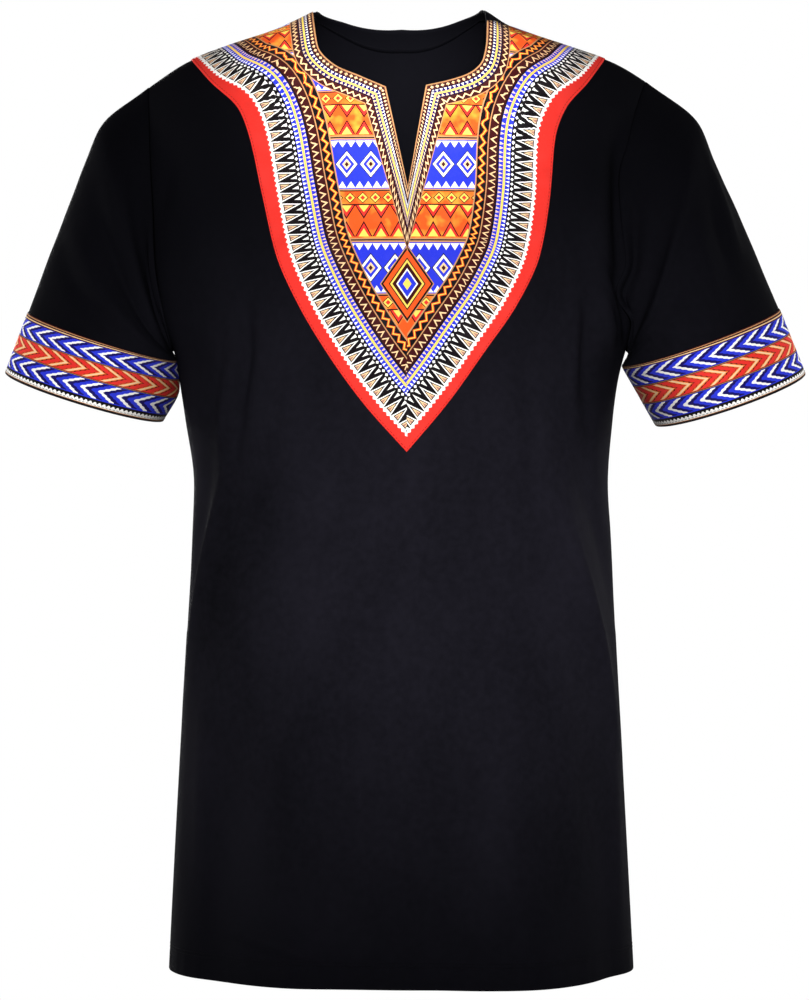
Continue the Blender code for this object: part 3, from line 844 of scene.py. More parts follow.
def tucked_ends(grid: ClothGrid, draw: float, depth: float) -> ClothGrid:
    """The grid with its two side edges rolled in, with three more columns at each.

    Args:
        grid: the panel's grid.
        draw: how far its edges are drawn back.
        depth: how deep their allowances stand inside.

    Returns:
        The wider grid.
    """
    points, out = grid.points.copy(), grid.normals()
    first = edge_turn(points[:, 0], points[:, 1], out[:, 0], draw, depth)
    last = edge_turn(points[:, -1], points[:, -2], out[:, -1], draw, depth)
    points[:, 0], points[:, -1] = first[:, 0], last[:, 0]
    return ClothGrid(np.concatenate((first[:, :0:-1], points, last[:, 1:]), axis=1), flipped=grid.flipped)


def widened(values: Array, spare: float) -> Array:
    """Texture coordinates with the columns that tucked_ends adds, of an allowance this wide.

    Args:
        values: a pair for each point of the panel.
        spare: the allowance's width in millimetres.

    Returns:
        The pairs for the wider grid.
    """
    steps = np.array((*BEND_LENGTHS, spare))[None, :, None] * np.array((1.0, 0.0))
    first, last = values[:, :1] - steps[:, ::-1], values[:, -1:] + steps
    return np.concatenate((first, values, last), axis=1)


def turned_under(grid: ClothGrid, count: int, gap: float) -> ClothGrid:
    """The grid with its last rows repeated inside, as a hem turned under.

    Args:
        grid: the panel's grid.
        count: how many rows lie inside again.
        gap: the distance between the two layers' middles.

    Returns:
        The grid with a rounded edge and the rows inside.
    """
    points, out = grid.points, grid.normals()
    edge = unit(points[-1] - points[-2]) * gap / 2
    bend = np.stack([points[-1] + edge * past - out[-1] * gap * sunk for past, sunk in HEM_BEND])
    inside = (points - out * gap)[::-1][: count + 1]
    return ClothGrid(np.concatenate((points, bend, inside)), grid.closed, grid.flipped)


def lengthened(values: Array, count: int) -> Array:
    """Texture coordinates with the rows that turned_under adds."""
    return np.concatenate((values, np.repeat(values[-1:], len(HEM_BEND), axis=0), values[::-1][: count + 1]))


@dataclass
class StitchRow:
    """A row of stitches along a line on the cloth."""

    path: Array
    out: Array
    closed: bool = False
    length: float = 0.0027
    gap: float = 0.0008
    thread: float = 0.00024
    sides: int = 5
    # share of a stitch's length, height over the cloth and thickness, as shares of the thread's
    stations: tuple = ((0.0, -0.6, 0.6), (0.25, 0.75, 1.0), (0.75, 0.75, 1.0), (1.0, -0.6, 0.6))

    def shell(self) -> tuple[Array, list]:
        """The stitches' points and faces.

        Returns:
            The points, and the faces as numbers of points.
        """
        path, out = self.path, self.out
        if self.closed:
            path, out = (np.concatenate((line, line[:1])) for line in (path, out))
        lengths = path_lengths(path)
        count = int(lengths[-1] / (self.length + self.gap))
        pitch = lengths[-1] / count
        starts = (np.arange(count) + 0.5) * pitch - self.length / 2
        shares, heights, widths = np.array(self.stations).T
        at = starts[:, None] + shares * self.length
        spot, up = read_off(at, lengths, path), unit(read_off(at, lengths, out))
        along = unit(spot[:, -1:] - spot[:, :1])
        across = unit(np.cross(along, up))
        height = heights[None, :, None] * self.thread
        radius = widths[None, :, None, None] * self.thread
        turn = np.arange(self.sides) * 2 * HALF_TURN / self.sides
        ring = np.cos(turn)[:, None] * across[:, :, None] + np.sin(turn)[:, None] * up[:, :, None]
        points = (spot + up * height)[:, :, None] + ring * radius
        return points.reshape(-1, 3), self._faces(count)

    def _faces(self, count: int) -> list:
        """The faces of a number of stitches.

        Args:
            count: how many stitches there are.

        Returns:
            The faces, as numbers of points.
        """
        stations, sides = len(self.stations), self.sides
        faces = []
        for stitch in range(count):
            base = stitch * stations * sides
            for station in range(stations - 1):
                low = base + station * sides
                for k in range(sides):
                    after = (k + 1) % sides
                    faces.append((low + k, low + after, low + sides + after, low + sides + k))
            faces.append(tuple(base + k for k in reversed(range(sides))))
            faces.append(tuple(base + (stations - 1) * sides + k for k in range(sides)))
        return faces


def sewn(name: str, rows: Sequence[StitchRow], finish: Material, slot: str) -> Thing:
    """Makes one piece of several rows of stitches.

    Args:
        name: the piece's name.
        rows: the rows of stitches.
        finish: the thread's material.
        slot: the material slot that it belongs to.

    Returns:
        The new object.
    """
    points, faces, first = [], [], 0
    for row in rows:
        shell, cells = row.shell()
        points.append(shell)
        faces += [tuple(first + corner for corner in cell) for cell in cells]
        first += len(shell)
    mesh = bpy.data.meshes.new(name)
    mesh.from_pydata(np.concatenate(points).tolist(), [], faces)
    return put_on(name, mesh, finish, slot)


def worked_out(operation: str) -> Callable[..., Reading]:
    """A method that works out a number from a reading, and from another one where that is given.

    Args:
        operation: what is done.

    Returns:
        The method.
    """

    def method(self: Reading, other: Reading | float | None = None) -> Reading:
        """The number that results."""
        return self.draft.math(operation, self, other)

    return method


class Reading:
    """A number that a finish works out at each point of the cloth."""

    def __init__(self, draft: Draft, socket: Socket) -> None:
        """Keeps the drawing and the socket that the number comes from."""
        self.draft = draft
        self.socket = socket

    __add__, __sub__, __mul__, __truediv__ = map(worked_out, ("ADD", "SUBTRACT", "MULTIPLY", "DIVIDE"))
    # masks, 1 where the number is over or under a limit
    over, under = worked_out("GREATER_THAN"), worked_out("LESS_THAN")
    # the larger of two, which is also where either of two masks holds, and the smaller
    either, least = worked_out("MAXIMUM"), worked_out("MINIMUM")
    # the number without its sign, and its sine
    size, wave = worked_out("ABSOLUTE"), worked_out("SINE")

    def between(self, low: Reading | float, high: Reading | float) -> Reading:
        """A mask, 1 from the low limit to the high one."""
        return self.over(low) * self.under(high)

    def swing(self, pitch: float, start: float = 0.0) -> Reading:
        """Rises from 0 to 1 at the middle of each pitch and falls again, in straight lines."""
        return self.draft.math("PINGPONG", self + start, pitch / 2) * (2 / pitch)

    def share(self, pitch: float, start: float = 0.0) -> Reading:
        """Rises from 0 to 1 over each pitch."""
        return self.draft.math("FRACT", (self + start) * (1 / pitch))

    def chosen(self, other: Reading, mask: Reading) -> Reading:
        """This number, or the other one where the mask holds."""
        return self + (other - self) * mask


@dataclass
class Draft:
    """A material, or the sky, being drawn up from nodes."""

    owner: Material | bpy.types.World
    ground: str = "Principled BSDF"

    def __post_init__(self) -> None:
        """Opens the nodes."""
        self.owner.use_nodes = True
        self.nodes, self.links = self.owner.node_tree.nodes, self.owner.node_tree.links
        self.surface = self.nodes[self.ground]

    def feed(self, node: bpy.types.Node, values: dict) -> None:
        """Sets inputs of a node, or links them where the value comes from another node.

        Args:
            node: the node.
            values: numbers, colours, readings or sockets, by the inputs' names or numbers.
        """
        for name, value in values.items():
            source = value.socket if isinstance(value, Reading) else value
            if isinstance(source, Socket):
                self.links.new(source, node.inputs[name])
            else:
                node.inputs[name].default_value = source

    def new(self, kind: str, values: dict | None = None) -> bpy.types.Node:
        """A new node.

        Args:
            kind: its kind.
            values: what its inputs are given, where that isn't left as it is.

        Returns:
            The node.
        """
        node = self.nodes.new(kind)
        self.feed(node, values or {})
        return node

    def math(self, operation: str, first: Reading, second: Reading | float | None = None) -> Reading:
        """A number worked out from one or two others.

        Args:
            operation: what is done.
            first: the first of them.
            second: the other, if any.

        Returns:
            The result.
        """
        node = self.new("ShaderNodeMath", {0: first} if second is None else {0: first, 1: second})
        node.operation = operation
        return Reading(self, node.outputs[0])

    def place(self, layer: str) -> tuple[Reading, Reading]:
        """The two texture coordinates of a layer, in millimetres.

        Args:
            layer: the layer's name.

        Returns:
            The place across and the place up.
        """
        source = self.new("ShaderNodeUVMap")
        source.uv_map = layer
        parts = self.new("ShaderNodeSeparateXYZ", {0: source.outputs[0]})
        return Reading(self, parts.outputs[0]), Reading(self, parts.outputs[1])

    def mottle(self, scale: float, detail: float = 2.0, stretch: tuple = (1.0, 1.0, 1.0)) -> Reading:
        """A cloudy number around 0.5, with its clouds this many to the metre.

        Args:
            scale: clouds to the metre.
            detail: how many finer ones lie in each.
            stretch: their scale along each axis.

        Returns:
            The number.
        """
        where = self.new("ShaderNodeTexCoord")
        wide = self.new("ShaderNodeMapping", {"Vector": where.outputs["Object"], "Scale": stretch})
        noise = self.new("ShaderNodeTexNoise", {"Vector": wide.outputs[0], "Scale": scale, "Detail": detail})
        return Reading(self, noise.outputs["Fac"])

    def distance(self, middle: tuple, reach: tuple) -> Reading:
        """How far the cloth lies from a point, as a share of a reach along each axis.

        Args:
            middle: the point.
            reach: the distances that count as 1.

        Returns:
            The share.
        """
        where = self.new("ShaderNodeTexCoord")
        moved = self.new("ShaderNodeMapping", {
            "Vector": where.outputs["Object"],
            "Location": [-part / far for part, far in zip(middle, reach)],
            "Scale": [1 / far for far in reach],
        })
        length = self.new("ShaderNodeVectorMath", {0: moved.outputs[0]})
        length.operation = "LENGTH"
        return Reading(self, length.outputs["Value"])

    def paint(self, under: Socket | Colour, over: Socket | Colour, mask: Reading) -> Socket:
        """One colour laid over another where a mask holds.

        Args:
            under: the colour beneath.
            over: the colour on top.
            mask: where it lies.

        Returns:
            The colour that results.
        """
        node = self.new("ShaderNodeMix")
        node.data_type = "RGBA"
        self.feed(node, {"Factor": mask, MIX_UNDER: under, MIX_OVER: over})
        return node.outputs[MIX_RESULT]

    def relief(self, height: Reading, strength: float, distance: float) -> None:
        """Raises the surface by a number, with 1 this many metres high, without changing its shape."""
        bump = self.new("ShaderNodeBump", {"Strength": strength, "Distance": distance, "Height": height})
        self.feed(self.surface, {"Normal": bump.outputs[0]})

    def finish(self, colour: Socket, roughness: float, index: float, shine: float) -> None:
        """Sets what the surface is like.

        Args:
            colour: where its colour comes from.
            roughness: of its shine.
            index: index of refraction, which sets how strong the shine is.
            shine: how much of that shine is left.
        """
        self.feed(self.surface, {
            "Base Color": colour, "Roughness": roughness, "IOR": index, "Specular IOR Level": shine,
        })


class Dye(Enum):
    """The colours of the prints."""

    BLACK = srgb(10, 6, 11)
    WHITE = srgb(250, 247, 242)
    GREY = srgb(176, 124, 108)
    RED = srgb(224, 48, 40)
    BLUE = srgb(38, 52, 206)
    NAVY = srgb(18, 12, 92)
    ORANGE = srgb(228, 84, 28)
    FLAME = srgb(240, 112, 44)
    AMBER = srgb(240, 150, 50)
    YELLOW = srgb(246, 208, 92)
    MAROON = srgb(56, 8, 12)
    CREAM = srgb(240, 200, 150)
    TAN = srgb(190, 136, 92)


@dataclass(frozen=True)
class Motif:
    """A shape printed in one colour along a band, between two distances across it."""

    low: float
    high: float
    dye: Dye

    def mask(self, along: Reading, across: Reading) -> Reading:
        """Where the motif lies; a plain stripe fills its band."""
        return across.between(self.low, self.high)


@dataclass(frozen=True)
class Teeth(Motif):
    """A row of triangles that stand on the low side of their band, or hang from the high side."""

    pitch: float = 6.0
    hanging: bool = False
    start: float = 0.0
    spread: float = 1.0

    def mask(self, along: Reading, across: Reading) -> Reading:
        """Where the triangles lie; their feet fill this share of the pitch.

        Args:
            along: the place along the band.
            across: the place across it.

        Returns:
            The mask.
        """
        height = (across - self.low) / (self.high - self.low)
        inside = (along.swing(self.pitch, self.start) - 1.0) * (1 / self.spread) + 1.0
        if self.hanging:
            lies = (inside + height).over(1.0)
        else:
            lies = inside.over(height)
        return lies * across.between(self.low, self.high)


@dataclass(frozen=True)
class Diamonds(Motif):
    """A row of diamonds that fill their band from side to side."""

    pitch: float = 8.0
    width: float = 6.0
    start: float = 0.0

    def mask(self, along: Reading, across: Reading) -> Reading:
        """Where the diamonds lie.

        Args:
            along: the place along the band.
            across: the place across it.

        Returns:
            The mask.
        """
        middle, half = (self.low + self.high) / 2, (self.high - self.low) / 2
        off_side = (across - middle).size() / half
        off_middle = (along.swing(self.pitch, self.start) * -1.0 + 1.0) * (self.pitch / self.width)
        return (off_side + off_middle).under(1.0)


@dataclass(frozen=True)
class Zigzag(Motif):
    """A line that runs to and fro between the sides of its band."""

    pitch: float = 10.0
    width: float = 2.0

    def mask(self, along: Reading, across: Reading) -> Reading:
        """Where the line lies."""
        middle = along.swing(self.pitch) * (self.high - self.low - self.width) + (self.low + self.width / 2)
        return (across - middle).size().under(self.width / 2)


@dataclass(frozen=True)
class Chevrons(Motif):
    """Arrowheads that follow each other along a band, with a toothed edge behind where wanted."""

    pitch: float = 16.5
    slope: float = 2.2
    share: float = 0.4
    start: float = 0.0
    tooth: float = 0.0
    tooth_slope: float = 0.6

    def mask(self, along: Reading, across: Reading) -> Reading:
        """Where the arrowheads lie.

        Args:
            along: the place along the band.
            across: the place across it.

        Returns:
            The mask.
        """
        middle = (self.low + self.high) / 2
        trail = along + self.start - (across - middle).size() * self.slope
        if self.tooth:
            trail = trail + across.swing(self.tooth) * (self.tooth * self.tooth_slope)
        return trail.share(self.pitch).under(self.share) * across.between(self.low, self.high)


@dataclass(frozen=True)
class Jersey:
    """Matt black cotton jersey: knitted loops in upright rows, a soft fuzz, a slightly varied tone and
    painted light, a lighter tone in a pool round the belly's height.
    """

    tone: Colour = srgb(7, 7, 10)
    # painted light: the lighter tone laid over the plain one, in a pool round the belly's height front and
    # back, mottled at random
    faded: Colour = srgb(25, 24, 31)
    # the pool of painted light: its middle, its reach along each axis, where its edge lies, and how much of
    # it is left outside
    light_pool_middle: tuple = (0.05, 0.0, -0.52)
    light_pool_reach: tuple = (0.30, 9.0, 0.29)
    light_pool_edge: float = 1.35
    light_pool_least: float = 0.1
    wale: float = 0.80
    course: float = 0.62
    slant: float = 0.8
    # clouds to the metre and their detail: of the fuzz, and of the wide and the small clouds
    fuzz: tuple = (2400.0, 1.0)
    wide: tuple = (9.0, 4.0, (1.0, 1.0, 0.45))
    small: tuple = (160.0, 2.0)
    wide_share: float = 0.75
    # heights of the loops, the rows and the fuzz, and how strong and how deep they are
    relief: tuple = (0.55, 0.25, 0.5)
    strength: float = 0.30
    depth: float = 0.00035
    # where the clouds start to count, how much, and what is added, which is painted light all over before the
    # pool's falloff weighs it
    fading: tuple = (0.36, 2.4, 0.35)
    # where the fuzz shows as lint, and how much
    linting: tuple = (0.62, 0.8)
    lint: Colour = srgb(38, 37, 44)
    roughness: float = 0.86
    index: float = 1.14
    shine: float = 0.12

    def make(self, name: str) -> Material:
        """Makes the material.

        Args:
            name: its name.

        Returns:
            The new material.
        """
        draft = Draft(bpy.data.materials.new(name))
        across, up = draft.place("Cloth")
        loops = across.swing(self.wale)
        rows = ((up + loops * (self.course * self.slant)) * (2 * HALF_TURN / self.course)).wave()
        fuzz = draft.mottle(*self.fuzz)
        loop_height, row_height, fuzz_height = self.relief
        draft.relief(loops * loop_height + rows * row_height + fuzz * fuzz_height, self.strength, self.depth)
        clouds = draft.mottle(*self.wide) * self.wide_share
        clouds = clouds + draft.mottle(*self.small) * (1 - self.wide_share)
        # painted light: the lighter tone in a pool round the belly's height, falling off towards the
        # shoulders, sleeves and hem, with random clouds in it
        middle = draft.distance(self.light_pool_middle, self.light_pool_reach) * -1.0 + self.light_pool_edge
        middle = middle.either(0.0).least(1.0)
        start, gain, base = self.fading
        light_pool_mask = (clouds - start) * gain + base
        light_pool_mask = (light_pool_mask.either(0.0) * (middle * (1 - self.light_pool_least) + self.light_pool_least)).least(1.0)
        lit = draft.paint(self.tone, self.faded, light_pool_mask)
        speck = (fuzz - self.linting[0]).either(0.0) * self.linting[1]
        draft.finish(draft.paint(lit, self.lint, speck), self.roughness, self.index, self.shine)
        return draft.owner


@dataclass(frozen=True)
class PrintedCotton:
    """Plain-woven cotton with a print on it, which the weave and uneven ink soften."""

    thread: float = 0.42
    # shares of the crossings and of each thread in the weave's height, and the grain's
    crossing: float = 0.5
    over_thread: float = 0.25
    over_grain: float = 0.4
    strength: float = 0.35
    depth: float = 0.00022
    # clouds to the metre and their detail: of the grain, and of what is worn and shaded
    grain: tuple = (1400.0, 2.0)
    wearing: tuple = (45.0, 4.0)
    shading: tuple = (30.0, 3.0)
    worn: Colour = srgb(206, 190, 184)
    wear_from: float = 0.5
    wear_gain: float = 1.6
    wear: float = 0.06
    grain_wear: float = 0.18
    most_worn: float = 0.015
    shade: Colour = srgb(28, 18, 22)
    shade_from: float = 0.54
    shade_share: float = 0.55
    roughness: float = 0.72
    index: float = 1.20
    shine: float = 0.25

    def weave(self, across: Reading, up: Reading) -> Reading:
        """Height of the crossing threads of the plain weave."""
        warp, weft = ((way * (2 * HALF_TURN / self.thread)).wave() for way in (across, up))
        return warp * weft * self.crossing + warp.size() * self.over_thread + weft.size() * self.over_thread

    def finish(self, draft: Draft, colour: Socket, across: Reading, up: Reading) -> Material:
        """Dresses a printed cloth.

        Args:
            draft: the material being drawn.
            colour: the print.
            across: the place across the cloth, in millimetres.
            up: the place up the cloth.

        Returns:
            The finished material.
        """
        grain = draft.mottle(*self.grain)
        draft.relief(self.weave(across, up) + grain * self.over_grain, self.strength, self.depth)
        worn = ((draft.mottle(*self.wearing) - self.wear_from) * self.wear_gain).either(0.0) * self.wear
        worn = worn + (grain - self.wear_from).either(0.0) * self.grain_wear
        softened = draft.paint(colour, self.worn, worn.least(self.most_worn))
        dim = (draft.mottle(*self.shading) - self.shade_from).either(0.0) * self.shade_share
        shaded = draft.paint(softened, self.shade, dim)
        draft.finish(shaded, self.roughness, self.index, self.shine)
        return draft.owner


@dataclass(frozen=True)
class BandPrint(PrintedCotton):
    """The sleeve bands' print: rows of arrowheads between plain lines, with painted shade, black laid over it
    towards the underarm.
    """

    girth: float = 412.5
    # painted shade towards the underarm: where it starts on the way round from the top fold to the underside,
    # how fast it rises, and its most
    underarm_shade_from: float = 0.56
    underarm_shade_gain: float = 2.2
    underarm_shade: float = 0.72
    motifs: tuple = (
        Motif(-30.0, 0.6, Dye.BLACK), Motif(0.6, 1.1, Dye.TAN), Motif(4.3, 6.3, Dye.BLACK),
        Teeth(2.7, 4.5, Dye.BLACK, pitch=4.2, hanging=True, spread=0.8), Motif(6.1, 20.2, Dye.BLUE),
        Chevrons(6.8, 19.6, Dye.NAVY, tooth=1.9, share=0.62),
        Chevrons(6.8, 19.6, Dye.WHITE, tooth=1.9, share=0.28), Motif(20.0, 21.5, Dye.BLACK),
        Motif(20.5, 20.9, Dye.TAN), Motif(21.4, 35.4, Dye.RED),
        Chevrons(21.8, 35.0, Dye.MAROON, slope=-2.2, tooth=1.9, share=0.56, start=5.8),
        Chevrons(21.8, 35.0, Dye.FLAME, slope=-2.2, tooth=1.9, share=0.42, start=5.0),
        Chevrons(21.8, 35.0, Dye.CREAM, slope=-2.2, share=0.22, start=4.0), Motif(35.2, 36.7, Dye.BLACK),
        Motif(35.7, 36.1, Dye.TAN), Motif(36.6, 52.2, Dye.BLUE),
        Chevrons(37.3, 51.5, Dye.NAVY, start=8.0, tooth=1.9, share=0.62),
        Chevrons(37.3, 51.5, Dye.WHITE, start=8.0, tooth=1.9, share=0.28), Motif(51.9, 90.0, Dye.MAROON),
        Motif(53.0, 53.9, Dye.CREAM), Motif(55.2, 56.1, Dye.TAN),
    )

    def make(self, name: str) -> Material:
        """Makes the material; the layer runs round from the top fold and up from the cuff.

        Args:
            name: its name.

        Returns:
            The new material.
        """
        draft = Draft(bpy.data.materials.new(name))
        along, across = draft.place("Band")
        colour = Dye.WHITE.value
        for motif in self.motifs:
            colour = draft.paint(colour, motif.dye.value, motif.mask(along, across))
        # painted shade: black laid over the print towards the band's underside, next to the body
        under = (along.swing(self.girth) - self.underarm_shade_from) * self.underarm_shade_gain
        colour = draft.paint(colour, Dye.BLACK.value, under.either(0.0).least(self.underarm_shade))
        return self.finish(draft, colour, along, across)


@dataclass(frozen=True)
class YokePrint(PrintedCotton):
    """The yoke's print: warm and blue blocks, a border round the outside and bands round the neck."""

    block: float = 92.0
    # clouds to the metre and detail of the ground, where they start to count and how much
    flames: tuple = (70.0, 2.0)
    flames_from: float = 0.46
    flames_gain: float = 5.0
    red_rim: float = 5.0
    # in the distances from the outer edge
    border: tuple = (
        Motif(-20.0, 12.6, Dye.RED), Motif(12.4, 31.0, Dye.BLACK), Motif(12.4, 13.5, Dye.WHITE),
        Teeth(10.6, 12.5, Dye.WHITE, pitch=4.75, hanging=True),
        Teeth(13.4, 30.6, Dye.WHITE, pitch=9.5, spread=0.94),
        Teeth(14.6, 27.0, Dye.BLACK, pitch=9.5, spread=0.62),
        Teeth(15.4, 23.4, Dye.CREAM, pitch=9.5, spread=0.42),
        Teeth(15.4, 19.4, Dye.GREY, pitch=9.5, spread=0.26),
        Teeth(25.0, 31.0, Dye.WHITE, pitch=9.5, hanging=True, start=4.75, spread=0.34),
        Motif(30.9, 35.2, Dye.BLACK), Diamonds(31.5, 34.6, Dye.WHITE, pitch=4.75, width=3.3),
        Motif(35.0, 45.6, Dye.BLUE), Teeth(35.5, 39.1, Dye.WHITE, pitch=3.8, spread=0.66),
        Teeth(41.5, 45.1, Dye.CREAM, pitch=3.8, hanging=True, spread=0.66), Motif(39.2, 41.4, Dye.YELLOW),
        Motif(45.4, 47.0, Dye.BLACK), Motif(46.8, 55.2, Dye.MAROON),
        Teeth(48.0, 54.0, Dye.CREAM, pitch=7.6, spread=0.86),
        Teeth(48.0, 51.4, Dye.MAROON, pitch=7.6, spread=0.56), Motif(55.0, 56.2, Dye.TAN),
        Motif(56.0, 64.6, Dye.BLACK), Zigzag(56.8, 63.8, Dye.ORANGE, pitch=9.0, width=3.0),
        Zigzag(57.8, 62.8, Dye.YELLOW, pitch=9.0, width=1.0), Motif(64.4, 65.6, Dye.TAN),
    )
    # in the distances from the neck and slit
    inner: tuple = (
        Motif(-30.0, 24.0, Dye.BLACK), Motif(-30.0, 1.3, Dye.TAN), Motif(1.3, 5.8, Dye.MAROON),
        Diamonds(2.0, 5.2, Dye.CREAM, pitch=4.8, width=3.4), Motif(6.2, 14.6, Dye.NAVY),
        Teeth(6.6, 9.4, Dye.WHITE, pitch=3.8, spread=0.7),
        Teeth(11.4, 14.2, Dye.CREAM, pitch=3.8, hanging=True, spread=0.7), Motif(9.5, 11.3, Dye.YELLOW),
        Motif(15.4, 22.2, Dye.MAROON), Zigzag(16.2, 21.4, Dye.CREAM, pitch=6.4, width=1.7),
        Motif(22.1, 23.0, Dye.TAN),
    )
    # rows of the warm and the blue blocks, in a block's own height
    warm: tuple = (
        Motif(-1.0, 1.2, Dye.TAN), Teeth(2.4, 16.2, Dye.MAROON, pitch=15.0),
        Teeth(2.4, 14.0, Dye.RED, pitch=15.0, spread=0.86),
        Teeth(2.4, 9.6, Dye.YELLOW, pitch=15.0, spread=0.6),
        Teeth(17.8, 30.0, Dye.MAROON, pitch=15.0, hanging=True),
        Teeth(20.0, 30.0, Dye.RED, pitch=15.0, hanging=True, spread=0.86),
        Teeth(24.0, 30.0, Dye.YELLOW, pitch=15.0, hanging=True, spread=0.6), Motif(30.0, 31.2, Dye.MAROON),
        Diamonds(31.6, 42.0, Dye.MAROON, pitch=11.0, width=10.4),
        Diamonds(32.6, 41.0, Dye.YELLOW, pitch=11.0, width=8.2),
        Diamonds(34.6, 39.0, Dye.RED, pitch=11.0, width=4.4), Motif(42.4, 43.6, Dye.BLACK),
    )
    cool: tuple = (
        Motif(43.5, 92.0, Dye.BLUE), Motif(43.5, 44.7, Dye.TAN), Teeth(45.6, 51.6, Dye.WHITE, pitch=7.5),
        Diamonds(54.0, 80.0, Dye.BLACK, pitch=21.0, width=20.4),
        Diamonds(55.2, 78.8, Dye.WHITE, pitch=21.0, width=18.6),
        Diamonds(58.4, 75.6, Dye.BLUE, pitch=21.0, width=13.4),
        Diamonds(62.0, 72.0, Dye.CREAM, pitch=21.0, width=7.8),
        Diamonds(64.6, 69.4, Dye.MAROON, pitch=21.0, width=3.8),
        Teeth(82.4, 88.4, Dye.WHITE, pitch=7.5, hanging=True), Motif(89.4, 90.8, Dye.TAN),
        Motif(90.8, 93.0, Dye.BLACK),
    )
    # half heights of the nested diamonds over the yoke's tip, from the outermost
    nested: tuple = (
        (34.0, Dye.TAN), (32.6, Dye.BLACK), (29.8, Dye.ORANGE), (23.0, Dye.BLACK), (21.4, Dye.YELLOW),
        (18.6, Dye.MAROON), (13.6, Dye.WHITE), (11.6, Dye.BLUE), (5.4, Dye.YELLOW),
    )
    diamond_slope: float = 1.45
    tip_height: float = 53.0
    inner_reach: float = 23.0

    def make(self, name: str) -> Material:
        """Makes the material, from the yoke's layers of texture coordinates.

        Args:
            name: its name.

        Returns:
            The new material.
        """
        draft = Draft(bpy.data.materials.new(name))
        across, up = draft.place("Print")
        rim_along, rim = draft.place("Rim")
        neck_along, neck = draft.place("Neck")
        slit_along, slit = draft.place("Slit")
        flame = ((draft.mottle(*self.flames) - self.flames_from) * self.flames_gain).either(0.0).least(1.0)
        colour = draft.paint(Dye.ORANGE.value, Dye.AMBER.value, flame)
        height = up.share(self.block) * self.block
        for motif in self.warm + self.cool:
            colour = draft.paint(colour, motif.dye.value, motif.mask(across, height))
        away = across.size() * self.diamond_slope + (up - self.tip_height).size()
        for reach, dye in self.nested:
            colour = draft.paint(colour, dye.value, away.under(reach))
        for motif in self.border:
            colour = draft.paint(colour, motif.dye.value, motif.mask(rim_along, rim))
        beside = slit.under(neck)
        along, inward = neck_along.chosen(slit_along, beside), neck.chosen(slit, beside)
        bands = Dye.BLACK.value
        for motif in self.inner:
            bands = draft.paint(bands, motif.dye.value, motif.mask(along, inward))
        colour = draft.paint(colour, bands, inward.under(self.inner_reach))
        edged = draft.paint(colour, Dye.RED.value, rim.under(self.red_rim))
        return self.finish(draft, edged, across, up)


@dataclass(frozen=True)
class Thread:
    """Twisted sewing thread."""

    dye: Colour
    twist: tuple = (3000.0, 1.0, (1.0, 1.0, 0.3))
    dark: float = 0.55
    strength: float = 0.4
    depth: float = 0.0001
    roughness: float = 0.6
    index: float = 1.2
    shine: float = 0.12

    def make(self, name: str) -> Material:
        """Makes the material.

        Args:
            name: its name.

        Returns:
            The new material.
        """
        draft = Draft(bpy.data.materials.new(name))
        twist = draft.mottle(*self.twist)
        draft.relief(twist, self.strength, self.depth)
        dark = tuple(part * self.dark for part in self.dye[:3]) + (1.0,)
        draft.finish(draft.paint(self.dye, dark, twist), self.roughness, self.index, self.shine)
        return draft.owner


@dataclass
class ClothMeasure:
    """Lengths of cloth round the body and down it, as the print and the knit are laid out on it."""

    form: TunicForm
    across_cells: int = 60
    down_cells: int = 140
    margin: float = 1e-6

    def __post_init__(self) -> None:
        """Measures the form on an even net of places."""
        around = np.linspace(-1.0, 1.0, self.across_cells + 1)
        down = np.linspace(0.0, 2.0, self.down_cells + 1)
        self.tables = {}
        for face in Face:
            net = np.stack(np.meshgrid(around, down * face.value, indexing="ij"), axis=-1)
            points = self.form.points(net)
            across, drop = path_lengths(points), path_lengths(points, axis=1)
            across -= across[self.across_cells // 2]
            drop -= drop[:, self.down_cells // 2][:, None]
            self.tables[face] = paired(across, -drop) * MM

    def layout(self, places: Array, face: Face) -> Array:
        """Where places lie on the flat cloth, in millimetres from the middle and over the underarms' level.

        Args:
            places: pairs of around and drop.
            face: the panel's face.

        Returns:
            A pair for each of them.
        """
        table = self.tables[face]
        a = np.clip((places[..., 0] + 1) / 2 * self.across_cells, 0, self.across_cells - self.margin)
        d = np.clip(np.abs(places[..., 1]) / 2 * self.down_cells, 0, self.down_cells - self.margin)
        i, j = a.astype(int), d.astype(int)
        s, t = (a - i)[..., None], (d - j)[..., None]
        upper = table[i, j] * (1 - s) + table[i + 1, j] * s
        lower = table[i, j + 1] * (1 - s) + table[i + 1, j + 1] * s
        return upper * (1 - t) + lower * t


